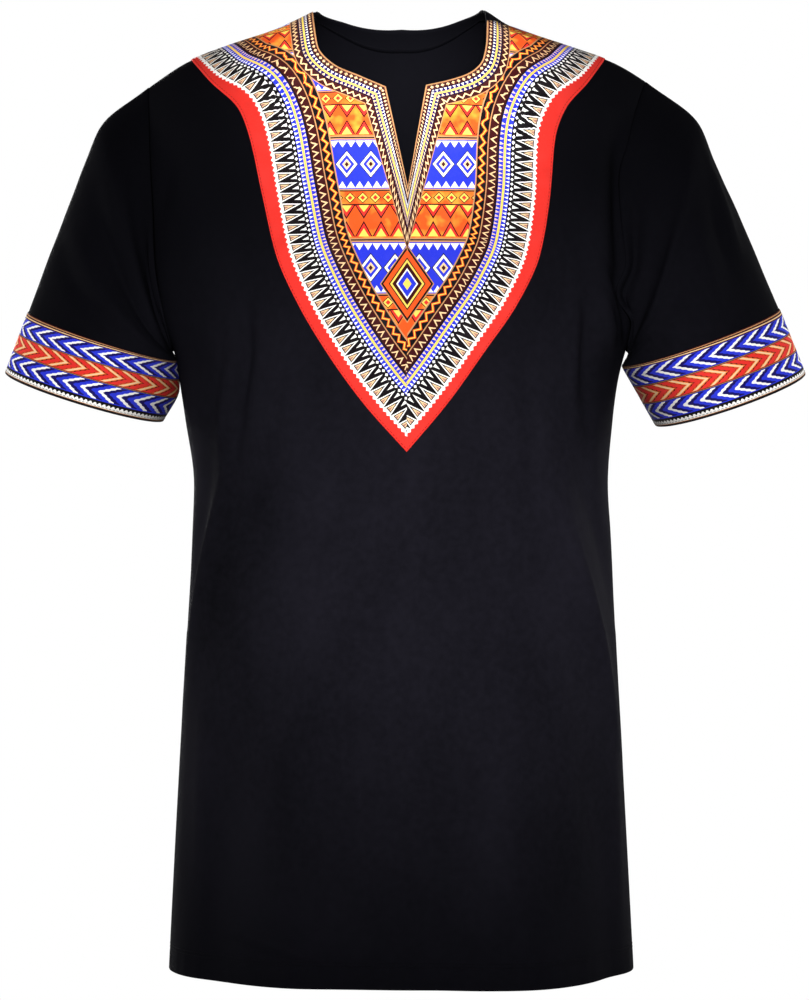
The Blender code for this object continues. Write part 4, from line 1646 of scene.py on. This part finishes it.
@dataclass
class Body:
    """The front and back panels of jersey."""

    form: TunicForm
    cutting: Cutting
    measure: ClothMeasure
    finish: Material
    slot: str = "black_jersey"
    jersey: float = 0.0009
    draw: float = -0.0002
    allowance: float = 0.0065
    hem_gap: float = 0.0016
    hem_rows_inside: int = 12
    stitch_heights: tuple = (0.0188, 0.0218)
    stitch_sink: float = 0.0002
    stitch_width: float = 0.0011
    stitch_reach: float = 0.997
    stitch_steps: int = 300
    pucker: float = 0.00028
    # height of the puckers' middle as a share of the lower row's, and how far they reach from it
    pucker_middle: float = 0.55
    pucker_reach: float = 0.010
    # two kinds of puckers: how many go round, how far they crowd together and how often, and their share
    puckers: tuple = ((23, 2, 3, 0.6), (37, 1.3, 5, 0.4))

    def __post_init__(self) -> None:
        """Lays out the two panels."""
        self.places = {Face.FRONT: self.cutting.front(), Face.BACK: self.cutting.back()[:, ::-1]}
        self.grids = {face: ClothGrid(self.sewn(places)) for face, places in self.places.items()}

    def sewn(self, places: Array) -> Array:
        """Points of a panel, with the hem's stitching drawn into the cloth.

        Args:
            places: pairs of around and drop.

        Returns:
            The points.
        """
        points, out = self.form.points(places), self.form.normals(places)
        height = (2 - np.abs(places[..., 1])) * (self.form.underarm - self.form.hem)
        sunk = np.zeros(height.shape)
        for row in self.stitch_heights:
            sunk += self.stitch_sink * np.exp(-(((height - row) / self.stitch_width) ** 2))
        around = places[..., 0] * HALF_TURN
        (count, crowding, crowds, share), (fine_count, fine_crowding, fine_crowds, fine_share) = self.puckers
        ripple = np.sin(around * count + crowding * np.sin(around * crowds)) * share
        ripple += np.sin(around * fine_count + fine_crowding * np.cos(around * fine_crowds)) * fine_share
        swell = np.exp(-(((height - self.stitch_heights[0] * self.pucker_middle) / self.pucker_reach) ** 2))
        return points + out * (ripple * swell * self.pucker - sunk)[..., None]

    def seam(self, side: Side, face: Face) -> tuple[Array, Array]:
        """An armhole's edge on a panel, from the shoulder's tip down, and the points beside it.

        Args:
            side: the body's side.
            face: the panel's face.

        Returns:
            The edge's points and the inner ones.
        """
        points, cutting = self.grids[face].points, self.cutting
        first = cutting.yoke_rows + cutting.shoulder_rows
        rows = slice(first, first + cutting.armhole_rows + 1)
        at_start = (side is Side.RIGHT) == (face is Face.FRONT)
        return (points[rows, 0], points[rows, 1]) if at_start else (points[rows, -1], points[rows, -2])

    def stitch_rows(self) -> list[StitchRow]:
        """The hem's two rows of stitching, right round.

        Returns:
            The rows, in front and behind.
        """
        rows = []
        around = np.linspace(-1.0, 1.0, self.stitch_steps)
        for height in self.stitch_heights:
            drop = 2 - height / (self.form.underarm - self.form.hem)
            for face in Face:
                places = paired(around * self.stitch_reach, drop * face.value)
                out = self.form.normals(places)
                rows.append(StitchRow(self.sewn(places) + out * self.jersey / 2, out))
        return rows

    def build(self) -> list[Thing]:
        """Makes the two panels.

        Returns:
            The front and the back.
        """
        made = []
        for face, word in ((Face.FRONT, "front"), (Face.BACK, "back")):
            values = widened(self.measure.layout(self.places[face], face), self.allowance * MM)
            grid = tucked_ends(self.grids[face], self.draw, self.allowance)
            grid = turned_under(grid, self.hem_rows_inside, self.hem_gap)
            maps = {"Cloth": grid.corner_map(lengthened(values, self.hem_rows_inside))}
            made.append(Piece(word + "_panel", grid, maps, self.jersey, self.finish, self.slot, word).build())
        return made


@dataclass
class Sleeve:
    """A short sleeve of jersey that hangs from an armhole, with a printed band round its cuff."""

    side: Side
    body: Body
    sections: tuple
    folds: tuple
    jersey_finish: Material
    band_finish: Material
    slot: str = "black_jersey"
    band_slot: str = "band_print"
    jersey: float = 0.0009
    cotton: float = 0.0007
    seam_slot: float = 0.0003
    beside_cloth: float = 0.0015
    beside_power: float = 0.6
    draw: float = -0.0002
    allowance: float = 0.0060
    fold_margin: float = 0.02
    fold_ends: float = 0.8
    # height, waves round and along, share of the side's number, and waves round and along again
    rumples: tuple = ((0.00035, 2, 9, 1, 0, 7), (0.00018, 5, -17, 0, 3, 23))
    # share of the sleeve over which folds start, and how the band holds the cloth even
    settling: float = 0.04
    band_easing: float = 0.06
    band_hold: float = 0.75
    band_from: float = 0.80
    length: float = 0.30
    half_girth: float = 0.25
    rows_above: int = 52
    band_proud: float = 0.0011
    # where the band's rows lie, from its upper edge to the cuff
    band_rows: tuple = (
        0.0, 0.008, 0.022, 0.034, 0.045, 0.06, 0.1, 0.16, 0.24, 0.32, 0.4, 0.48, 0.56, 0.64, 0.72, 0.8, 0.87,
        0.92, 0.95, 0.968, 0.982, 0.993, 1.0,
    )
    band_pitches: int = 25
    band_pitch: float = 16.5
    band_width: float = 0.057
    cuff_rows_inside: int = 7
    cuff_gap: float = 0.0013
    # the band's rows of stitches, where they lie on its width, and how deep and how wide they sink
    stitched_rows: tuple = (3, 19)
    stitch_drops: tuple = (0.034, 0.966)
    stitch_sink: float = 0.00028
    stitch_width: float = 0.016
    edge_sink: float = 0.0005
    edge_width: float = 0.008

    def __post_init__(self) -> None:
        """Lays out the sleeve's rings from the armhole to the cuff."""
        way = self.side.value
        halves = zip(*(self.body.seam(self.side, face) for face in Face))
        edge, inner = (np.concatenate((front, back[-2:0:-1])) for front, back in halves)
        cells = self.body.cutting.armhole_rows
        lengths = path_lengths(np.concatenate((edge, edge[:1])))
        half, total = lengths[cells], lengths[-1]
        at = lengths[:-1]
        behind = HALF_TURN + HALF_TURN * (at - half) / (total - half)
        self.turn = np.where(at <= half, HALF_TURN * at / half, behind)
        sections = [Section(*row) for row in self.sections]
        rings = [self.ring(section) for section in sections]
        outward = unit(edge - inner)
        ahead = np.sum(outward * unit(rings[0] - edge), axis=1, keepdims=True)
        beside = ((1 - ahead) / 2) ** self.beside_power
        aside = np.array((way, 0, 0)) * self.beside_cloth * beside
        start = edge + outward * self.seam_slot * (1 - beside) + aside
        alongs = [0.0] + [section.along for section in sections]
        upper = np.linspace(0.0, self.band_from, self.rows_above + 1)
        lower = self.band_from + (1 - self.band_from) * np.array(self.band_rows[1:])
        self.alongs = np.concatenate((upper, lower))
        points = SmoothCurve(alongs, np.stack([start] + rings))(self.alongs)
        grid = ClothGrid(points, closed=True, flipped=self.side is Side.LEFT)
        self.grid = ClothGrid(points + grid.normals() * self.lift()[..., None], True, grid.flipped)

    def ring(self, section: Section) -> Array:
        """The points round one section.

        Args:
            section: the section.

        Returns:
            A point for each of the sleeve's turns.
        """
        way, turn = self.side.value, self.turn
        top = np.array((section.top_x * way, 0.0, section.top_z))
        under = np.array((section.under_x * way, 0.0, section.under_z))
        depth = np.where(turn < HALF_TURN, section.front, section.back)
        bulge = np.stack((np.zeros_like(turn), -depth * np.sin(turn), -section.dip * np.sin(turn)), axis=-1)
        return (top + under) / 2 + (top - under) / 2 * np.cos(turn)[:, None] + bulge

    def lift(self) -> Array:
        """How far folds and unevenness move the sleeve's cloth out.

        Returns:
            A height for each point of the sleeve.
        """
        turn = self.turn[None] / QUARTER_TURN
        along = self.alongs[:, None]
        total = np.zeros((len(self.alongs), len(self.turn)))
        for fold in map(SleeveFold._make, self.folds):
            middle = (fold.turn_start + fold.turn_end) / 2
            near = middle + (turn - middle + QUARTERS / 2) % QUARTERS - QUARTERS / 2
            quarter = self.half_girth / 2
            run = np.array(((fold.turn_end - fold.turn_start) * quarter,
                            (fold.along_end - fold.along_start) * self.length))
            off = paired((near - fold.turn_start) * quarter, (along - fold.along_start) * self.length)
            share = np.clip(off @ run / (run @ run), 0.0, 1.0)
            gap = np.linalg.norm(off - share[..., None] * run, axis=-1)
            swing = HALF_TURN * np.clip(share, self.fold_margin, 1 - self.fold_margin)
            total += fold.height * np.sin(swing) ** self.fold_ends * np.exp(-((gap / fold.width) ** 2))
        spot, rumple = self.turn[None], 0.0
        for height, round_1, along_1, sided, round_2, along_2 in self.rumples:
            first = np.sin(round_1 * spot + along_1 * along + sided * self.side.value)
            rumple = rumple + height * first * np.sin(round_2 * spot + along_2 * along)
        settle = np.clip(along / self.settling, 0.0, 1.0)
        steady = 1 - self.band_hold * np.clip((along - self.band_from) / self.band_easing + 0.5, 0.0, 1.0)
        return (total + rumple) * settle * settle * (3 - 2 * settle) * steady

    def armhole_turn(self) -> Array:
        """The rows over which the sleeve's own edge rolls in at the armhole, from the inside.

        Returns:
            The rows.
        """
        points, out = self.grid.points, self.grid.normals()
        wrapped = [np.concatenate((part[-1:], part, part[:1])) for part in (points[0], points[1], out[0])]
        turn = edge_turn(wrapped[0], wrapped[1], wrapped[2], self.draw, self.allowance)[1:-1]
        return np.swapaxes(turn, 0, 1)[::-1]

    def band_grid(self) -> ClothGrid:
        """The band's cloth, which lies on the sleeve's end.

        Returns:
            The band's grid, without what is turned in.
        """
        first = self.rows_above
        whole = ClothGrid(self.grid.points[first:], True, self.grid.flipped)
        drop = np.array(self.band_rows)[:, None]
        hold = sum(np.exp(-((drop - at) / self.stitch_width) ** 2) for at in self.stitch_drops)
        sink = self.edge_sink * np.exp(-((drop / self.edge_width) ** 2)) + self.stitch_sink * hold
        proud = (self.band_proud - sink)[..., None]
        return ClothGrid(whole.points + whole.normals() * proud, True, whole.flipped)

    def stitch_rows(self) -> list[StitchRow]:
        """The rows of stitching along the band's two edges.

        Returns:
            The upper row and the lower one.
        """
        grid = self.band_grid()
        out = grid.normals()
        lines = [(grid.points[row] + out[row] * self.cotton / 2, out[row]) for row in self.stitched_rows]
        return [StitchRow(line, up, closed=True) for line, up in lines]

    def build(self) -> list[Thing]:
        """Makes the sleeve and its band.

        Returns:
            The two pieces.
        """
        points = np.concatenate((self.armhole_turn(), self.grid.points[1:]))
        # distances round the sleeve and down it, with one more column that ends the turn
        closed = np.concatenate((self.grid.points, self.grid.points[:, :1]), axis=1)
        around, down = path_lengths(closed, axis=1) * MM, path_lengths(closed) * MM
        values = paired(around, -down)
        rises = (self.allowance * MM, *BEND_LENGTHS[::-1])
        extra = np.stack([values[0] + (0.0, rise) for rise in rises])
        values = np.concatenate((extra, values))
        grid = ClothGrid(points, True, self.grid.flipped)
        name = f"sleeve_{self.side.word}"
        maps = {"Cloth": grid.corner_map(values)}
        sleeve = Piece(name + "_cloth", grid, maps, self.jersey, self.jersey_finish, self.slot, name).build()
        around = around[self.rows_above :]
        turned = around / around[:, -1:] * self.band_pitches * self.band_pitch * -self.side.value
        up = (1 - np.array(self.band_rows))[:, None] * self.band_width * MM
        band = turned_under(self.band_grid(), self.cuff_rows_inside, self.cuff_gap + self.jersey)
        maps = {"Band": band.corner_map(lengthened(paired(turned, up), self.cuff_rows_inside))}
        name, finish = f"band_{self.side.word}", self.band_finish
        printed = Piece(name + "_cloth", band, maps, self.cotton, finish, self.band_slot, name).build()
        return [sleeve, printed]


@dataclass
class Yoke:
    """The printed yoke, sewn on over the front panel with its edges turned in."""

    body: Body
    finish: Material
    slot: str = "yoke_print"
    cotton: float = 0.0006
    proud: float = 0.0011
    # distances in from the outer edge at which rows lie, and how deep they sink there
    rim_rows: tuple = (
        (0.0, 0.00075), (0.0004, 0.0003), (0.001, 0.00005), (0.0016, 0.00016), (0.0021, 0.0003),
        (0.0026, 0.00016), (0.0034, 0.0),
    )
    # where the last of the even rows lies, as a share of the way to the first of those
    last_even: float = 0.985
    # the bands beside the slit: their width and tip, and how their lines are found
    inner_width: float = 0.023
    inner_tip: tuple = (0.0050, -0.2240)
    slit_rounds: int = 12
    slit_limits: tuple = ((-1.0, 4.0), (-2.0, 2.0))
    least_area: float = 1e-6
    # how far the lines of the outer edge and the neck go on beyond their ends
    rim_extension: float = 0.4
    neck_extension: float = 0.03
    # the rows that are stitched: counted from the outer edge, and from the neck
    outer_stitches: int = 5
    inner_stitches: int = 1
    print_middle: float = 5.0
    # width of the plain border at distances along the outer edge from the shoulder, in millimetres
    border_rows: tuple = ((0.0, 6.5), (50.0, 8.6), (95.0, 15.4), (125.0, 16.8), (190.0, 14.6), (260.0, 12.6),
                          (320.0, 11.2), (450.0, 10.2))
    border_drawn: float = 12.6
    border_easing: float = 5.0

    def __post_init__(self) -> None:
        """Lays out the yoke's places and points."""
        cutting, form = self.body.cutting, self.body.form
        rows = self.body.places[Face.FRONT][: cutting.yoke_rows + 1]
        points = form.points(rows)
        lengths = path_lengths(points)
        total = lengths[-1]
        shares = [1 - distance / total for distance, _ in reversed(self.rim_rows)]
        inner = [np.full_like(total, share) for share in np.linspace(0.0, 1.0, cutting.yoke_rows + 1)[:-2]]
        first_rim = shares[0]
        inner = [share * first_rim / inner[-1][0] * self.last_even for share in inner]
        wanted = np.stack(inner + shares)
        read = [self.along_columns(rows[..., k], lengths / total, wanted) for k in (0, 1)]
        self.places = np.stack(read, axis=-1)
        sinks = np.array([0.0] * len(inner) + [sink for _, sink in reversed(self.rim_rows)])
        self.out = form.normals(self.places)
        self.points = form.points(self.places) + self.out * (self.proud - sinks)[:, None, None]
        self.half = cutting.neck_columns + cutting.slit_columns

    @staticmethod
    def along_columns(values: Array, at: Array, wanted: Array) -> Array:
        """Values read off along each column at other shares of its length."""
        columns = zip(wanted.T, at.T, values.T)
        return np.stack([np.interp(places, known, column) for places, known, column in columns], axis=1)

    def nearest(self, points: Array, line: Array, reach: float) -> Array:
        """Distances along a line and away from it, in millimetres.

        Args:
            points: the points to measure.
            line: the line's points.
            reach: how far the line goes on straight beyond its ends.

        Returns:
            A pair for each point.
        """
        before = line[0] + unit(line[0] - line[2]) * reach
        after = line[-1] + unit(line[-1] - line[-3]) * reach
        path = np.concatenate((before[None], line, after[None]))
        start, run = path[:-1], np.diff(path, axis=0)
        length = np.linalg.norm(run, axis=1)
        flat = points.reshape(-1, 3)
        share = np.einsum("pk,sk->ps", flat, run) - np.sum(start * run, axis=1)
        share = np.clip(share, 0, length**2) / length**2
        gap = np.linalg.norm(flat[:, None] - (start + share[..., None] * run), axis=-1)
        best = np.argmin(gap, axis=1)
        row = np.arange(len(flat))
        along = path_lengths(path)[best] + share[row, best] * length[best] - reach
        return (paired(along, gap[row, best]) * MM).reshape(points.shape[:-1] + (2,))

    def rim_field(self, line: Array) -> Array:
        """Distances along the outer edge and in from it, moved so that the border has its width all along.

        Args:
            line: one half of the outer edge, from the shoulder.

        Returns:
            A pair for each of the yoke's points.
        """
        values = self.nearest(self.points, line, self.rim_extension)
        wider = table_curve(self.border_rows, 1)(values[..., 0]) - self.border_drawn
        values[..., 1] -= wider * np.clip(values[..., 1] / self.border_easing, 0.0, 1.0)
        return values

    def slit_field(self, points: Array, side: Side) -> Array:
        """Distances along the bands beside the slit and in from its edge, in millimetres.

        Args:
            points: the points to measure.
            side: the side of the slit.

        Returns:
            A pair for each point, from lines that turn slowly from the slit's edge to the bands' limit.
        """
        cutting, way = self.body.cutting, side.value
        top = np.array(cutting.right_neck[-1] if side is Side.RIGHT else cutting.left_neck[0])
        tip, bound_tip = np.array(cutting.slit_tip), np.array(self.inner_tip)
        wide = np.array((way * self.inner_width, 0.0))
        seen = points[..., (0, 2)]
        f, t = np.full(seen.shape[:-1], 0.5), np.full(seen.shape[:-1], 0.5)
        for _ in range(self.slit_rounds):
            upper, lower = top + f[..., None] * wide, tip + f[..., None] * (bound_tip - tip)
            miss = upper + t[..., None] * (lower - upper) - seen
            by_t = lower - upper
            by_f = wide + t[..., None] * ((bound_tip - tip) - wide)
            area = by_f[..., 0] * by_t[..., 1] - by_f[..., 1] * by_t[..., 0]
            area = np.where(np.abs(area) < self.least_area, self.least_area, area)
            f = f - (miss[..., 0] * by_t[..., 1] - miss[..., 1] * by_t[..., 0]) / area
            t = t - (by_f[..., 0] * miss[..., 1] - by_f[..., 1] * miss[..., 0]) / area
            f, t = (np.clip(share, *limits) for share, limits in zip((f, t), self.slit_limits))
        length = np.linalg.norm(bound_tip - top)
        return paired((1 - t) * length, f * self.inner_width) * MM

    def layer(self, fields: dict) -> Array:
        """Texture coordinates for each corner, with each half's own field.

        Args:
            fields: the two halves' pairs, by their sides.

        Returns:
            A pair for each corner.
        """
        whole = {side: ClothGrid(self.points).corner_map(values) for side, values in fields.items()}
        columns = self.points.shape[1] - 1
        left = np.tile(np.repeat(np.arange(columns) >= self.half, 4), self.points.shape[0] - 1)
        return np.where(left[:, None], whole[Side.LEFT], whole[Side.RIGHT])

    def build(self) -> Thing:
        """Makes the yoke.

        Returns:
            The new object.
        """
        cutting, half, points = self.body.cutting, self.half, self.points
        outline = {Side.RIGHT: points[-1, : half + 1], Side.LEFT: points[-1, half:][::-1]}
        neck = {Side.RIGHT: points[0, : cutting.neck_columns + 1],
                Side.LEFT: points[0, half + cutting.slit_columns :][::-1]}
        printed = self.body.measure.layout(self.places, Face.FRONT)
        maps = {
            "Print": {side: printed - (self.print_middle, 0.0) for side in Side},
            "Rim": {side: self.rim_field(line) for side, line in outline.items()},
            "Neck": {side: self.nearest(points, line, self.neck_extension) for side, line in neck.items()},
            "Slit": {side: self.slit_field(points, side) for side in Side},
        }
        maps = {layer: self.layer(fields) for layer, fields in maps.items()}
        grid = ClothGrid(points)
        return Piece("yoke_cloth", grid, maps, self.cotton, self.finish, self.slot, "yoke").build()

    def stitch_rows(self) -> tuple[list[StitchRow], list[StitchRow]]:
        """The stitching along the outer edge, and along the neck and slit.

        Returns:
            The outer row and the inner rows.
        """
        top = self.points + self.out * self.cotton / 2
        rows = (-self.outer_stitches, self.inner_stitches)
        outer, inner = ([StitchRow(top[row], self.out[row])] for row in rows)
        return outer, inner


@dataclass
class NeckFacing:
    """The strip of jersey inside the back neck."""

    body: Body
    finish: Material
    slot: str = "black_jersey"
    jersey: float = 0.0006
    inside: tuple = (0.0012, 0.00082)

    def build(self) -> Thing:
        """Makes the facing.

        Returns:
            The new object.
        """
        rows = self.body.cutting.facing_rows + 1
        grid = self.body.grids[Face.BACK]
        sunk = np.linspace(*self.inside, rows)[:, None, None]
        points = grid.points[:rows] - grid.normals()[:rows] * sunk
        values = self.body.measure.layout(self.body.places[Face.BACK][:rows], Face.BACK)
        strip = ClothGrid(points)
        maps = {"Cloth": strip.corner_map(values)}
        name = "neck_facing"
        return Piece(name + "_cloth", strip, maps, self.jersey, self.finish, self.slot, name).build()

    def stitch_rows(self) -> list[StitchRow]:
        """The row that holds the facing's lower edge, seen on the back.

        Returns:
            The row outside and the row inside.
        """
        grid = self.body.grids[Face.BACK]
        row = self.body.cutting.facing_rows
        out = grid.normals()[row]
        return [StitchRow(grid.points[row] + out * self.jersey / 2, out),
                StitchRow(grid.points[row - 1] - out * (self.inside[1] + self.jersey / 2), -out)]


@dataclass
class Studio:
    """A pale floor, a white horizon, soft lamps and a camera straight in front."""

    camera_place: tuple = (0.0027, -3.2, -0.44)
    lens: float = 128.0
    sensor: float = 36.0
    floor_level: float = -1.45
    floor_middle: tuple = (0.0, -1.4)
    floor_reach: float = 5.0
    floor_corners: int = 64
    floor_tones: tuple = ((0.82, 0.82, 0.82, 1.0), (0.86, 0.86, 0.86, 1.0))
    floor_mottle: float = 2.0
    # roughness, index of refraction and shine
    floor_surface: tuple = (0.9, 1.3, 0.25)
    floor_glow: float = 0.34
    # how much of the floor's radius its edge fades over, into the sky's tone below the horizon
    floor_fading: float = 0.6
    # place, aimed at, radius, power, full angle of the beam in degrees, softness of its edge
    spots: tuple = (
        ((-0.1, -2.6, 0.1), (0.02, -0.13, -0.4), 0.2, 300.0, 25.5, 1.0),
        ((0.0, -2.6, 0.1), (0.0, 0.05, -0.05), 0.1, 1000.0, 5.8, 1.0),
    )
    # place, aimed at, size across and up, power
    boxes: tuple = (
        ((-0.9, 2.6, 0.4), (0.0, 0.1, -0.4), (0.8, 1.2), 70.0),
        ((-2.0, 2.5, 0.1), (0.0, 0.1, -0.4), (0.6, 1.2), 16.0),
        ((2.0, 2.5, 0.1), (0.0, 0.1, -0.4), (0.6, 1.2), 16.0),
        ((-3.0, 1.0, 0.6), (0.0, 0.0, -0.45), (0.8, 1.4), 52.0),
        ((3.0, 1.0, 0.6), (0.0, 0.0, -0.45), (0.8, 1.4), 52.0),
    )
    # from where to where the sky changes, and from what to what strength: upwards, and from front to back
    fading: tuple = (0.155, 0.32, 1.0, 0.10)
    turning: tuple = (0.78, 0.94, 0.56, 1.0)

    def build(self) -> None:
        """Sets up the camera, the lamps, the floor and the sky."""
        scene = bpy.context.scene
        scene.view_settings.view_transform = "Standard"
        lens = bpy.data.cameras.new("camera")
        lens.lens, lens.sensor_width, lens.sensor_fit = self.lens, self.sensor, "AUTO"
        camera = bpy.data.objects.new("camera", lens)
        camera.location = self.camera_place
        camera.rotation_euler = (QUARTER_TURN, 0.0, 0.0)
        scene.collection.objects.link(camera)
        scene.camera = camera
        for place, aim, radius, power, angle, blend in self.spots:
            light = bpy.data.lights.new("spot", "SPOT")
            light.energy, light.shadow_soft_size = power, radius
            light.spot_size, light.spot_blend = math.radians(angle), blend
            self.hang(light, place, aim)
        for place, aim, size, power in self.boxes:
            light = bpy.data.lights.new("softbox", "AREA")
            light.shape, light.size, light.size_y, light.energy = "RECTANGLE", size[0], size[1], power
            self.hang(light, place, aim)
        self.sky()
        self.floor()

    def hang(self, light: bpy.types.Light, place: tuple, aim: tuple) -> None:
        """Hangs a lamp so that it faces a point.

        Args:
            light: the lamp's light.
            place: where it hangs.
            aim: the point.
        """
        lamp = bpy.data.objects.new(light.name, light)
        lamp.location = place
        lamp.rotation_euler = (Vector(aim) - Vector(place)).to_track_quat("-Z", "Y").to_euler()
        bpy.context.scene.collection.objects.link(lamp)

    def sky(self) -> None:
        """Makes the sky, white at the horizon and dimmer overhead."""
        draft = Draft(bpy.data.worlds.new("sky"), "Background")
        parts = draft.new("ShaderNodeSeparateXYZ", {0: draft.new("ShaderNodeTexCoord").outputs["Generated"]})
        product = draft.new("ShaderNodeMath")
        product.operation = "MULTIPLY"
        for number, (axis, values) in enumerate((("Z", self.fading), ("Y", self.turning))):
            limits = zip(("From Min", "From Max", "To Min", "To Max"), values)
            change = draft.new("ShaderNodeMapRange", {"Value": parts.outputs[axis], **dict(limits)})
            change.interpolation_type = "SMOOTHSTEP"
            draft.feed(product, {number: change.outputs[0]})
        draft.feed(draft.surface, {"Strength": product.outputs[0], "Color": PLAIN_WHITE})
        bpy.context.scene.world = draft.owner

    def floor(self) -> None:
        """Lays the floor."""
        mesh = bpy.data.meshes.new("floor")
        turns = [2 * HALF_TURN * k / self.floor_corners for k in range(self.floor_corners)]
        (x, y), reach = self.floor_middle, self.floor_reach
        level = self.floor_level
        corners = [(x + reach * math.cos(turn), y + reach * math.sin(turn), level) for turn in turns]
        mesh.from_pydata(corners, [], [tuple(range(self.floor_corners))])
        paint = Draft(bpy.data.materials.new("floor_paint"))
        pale = paint.paint(*self.floor_tones, paint.mottle(self.floor_mottle))
        paint.finish(pale, *self.floor_surface)
        away = paint.distance((x, y, level), (reach, reach, reach))
        faded = ((away * -1.0 + 1.0) * (1 / self.floor_fading)).least(1.0)
        paint.feed(paint.surface, {
            "Alpha": faded, "Emission Color": PLAIN_WHITE, "Emission Strength": self.floor_glow,
        })
        mesh.materials.append(paint.owner)
        floor = bpy.data.objects.new("floor", mesh)
        bpy.context.scene.collection.objects.link(floor)


# rows as in Section
RIGHT_SECTIONS = (
    (0.18, 0.2685, -0.1025, 0.207, -0.3075, 0.059, 0.059, 0.002),
    (0.3, 0.283, -0.135, 0.207, -0.3085, 0.062, 0.061, 0.004),
    (0.55, 0.3085, -0.201, 0.205, -0.3105, 0.061, 0.06, 0.006),
    (0.8, 0.335, -0.271, 0.2025, -0.3145, 0.0575, 0.057, 0.007),
    (0.9, 0.345, -0.2975, 0.201, -0.339, 0.056, 0.0555, 0.007),
    (1.0, 0.355, -0.3245, 0.215, -0.3675, 0.0545, 0.054, 0.008),
)
LEFT_SECTIONS = (
    (0.18, 0.2665, -0.1015, 0.2045, -0.308, 0.06, 0.059, 0.002),
    (0.3, 0.281, -0.135, 0.2045, -0.3095, 0.0625, 0.061, 0.004),
    (0.55, 0.307, -0.193, 0.203, -0.313, 0.061, 0.06, 0.006),
    (0.8, 0.339, -0.268, 0.1995, -0.319, 0.0575, 0.057, 0.008),
    (0.9, 0.3505, -0.297, 0.2135, -0.344, 0.056, 0.0555, 0.008),
    (1.0, 0.362, -0.3255, 0.229, -0.3715, 0.0545, 0.054, 0.009),
)
# rows as in SleeveFold
RIGHT_FOLDS = (
    (1.05, 0.045, 1.85, 0.045, 0.0085, -0.006), (1.1, 0.1, 1.75, 0.17, 0.016, -0.004),
    (0.35, 0.46, 1.6, 0.68, 0.017, 0.0046), (0.4, 0.3, 1.65, 0.5, 0.018, -0.0058),
    (0.55, 0.12, 1.5, 0.32, 0.015, 0.004), (0.3, 0.56, 1.2, 0.74, 0.011, -0.0032),
    (2.8, 0.12, 2.9, 0.55, 0.013, -0.004), (3.3, 0.2, 3.2, 0.66, 0.012, 0.0034),
    (2.4, 0.3, 3.4, 0.5, 0.011, 0.003),
)
LEFT_FOLDS = (
    (0.8, 0.044, 1.85, 0.044, 0.0095, -0.01), (0.85, 0.12, 1.7, 0.14, 0.02, -0.005),
    (0.55, 0.18, 1.4, 0.3, 0.011, 0.0036), (0.28, 0.22, 0.46, 0.64, 0.01, 0.0034),
    (0.52, 0.3, 0.6, 0.68, 0.009, -0.003), (0.76, 0.36, 0.82, 0.72, 0.01, 0.0036),
    (1.22, 0.22, 1.02, 0.66, 0.011, -0.0036), (1.62, 0.2, 1.34, 0.62, 0.01, 0.0032),
    (2.9, 0.14, 2.8, 0.58, 0.013, -0.004), (3.4, 0.18, 3.3, 0.68, 0.012, 0.0034),
    (2.4, 0.34, 3.3, 0.52, 0.011, 0.003),
)


def main() -> None:
    """Loads the frame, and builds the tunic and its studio."""
    logging.basicConfig(level=logging.INFO, format="%(name)s: %(message)s")
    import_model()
    form = TunicForm()
    cutting = Cutting(form)
    measure = ClothMeasure(form)
    jersey = Jersey().make("black_jersey")
    body = Body(form, cutting, measure, jersey)
    front, back = body.build()
    band_print = BandPrint().make("band_print")
    right = Sleeve(Side.RIGHT, body, RIGHT_SECTIONS, RIGHT_FOLDS, jersey, band_print)
    left = Sleeve(Side.LEFT, body, LEFT_SECTIONS, LEFT_FOLDS, jersey, band_print)
    yoke = Yoke(body, YokePrint().make("yoke_print"))
    facing = NeckFacing(body, jersey)
    right_cloth, right_band = right.build()
    left_cloth, left_band = left.build()
    yoke_cloth, facing_cloth = yoke.build(), facing.build()
    black, red = Thread(srgb(15, 14, 18)).make("black_thread"), Thread(srgb(170, 34, 30)).make("red_thread")
    dark = Thread(srgb(40, 26, 30)).make("dark_thread")
    outer, inner = yoke.stitch_rows()
    threads = [
        sewn("hem_stitching", body.stitch_rows(), black, "black_jersey"),
        sewn("facing_stitching", facing.stitch_rows(), black, "black_jersey"),
        sewn("yoke_stitching", outer, red, "yoke_print"),
        sewn("neck_stitching", inner, dark, "yoke_print"),
        sewn("band_right_stitching", right.stitch_rows(), dark, "band_print"),
        sewn("band_left_stitching", left.stitch_rows(), dark, "band_print"),
    ]
    cloths = (front, back, right_cloth, left_cloth, right_band, left_band, yoke_cloth, facing_cloth)
    for piece in (*cloths, *threads):
        log.info("%s: %d faces", piece.name, len(piece.data.polygons))
    Studio().build()


if __name__ == "__main__":
    main()
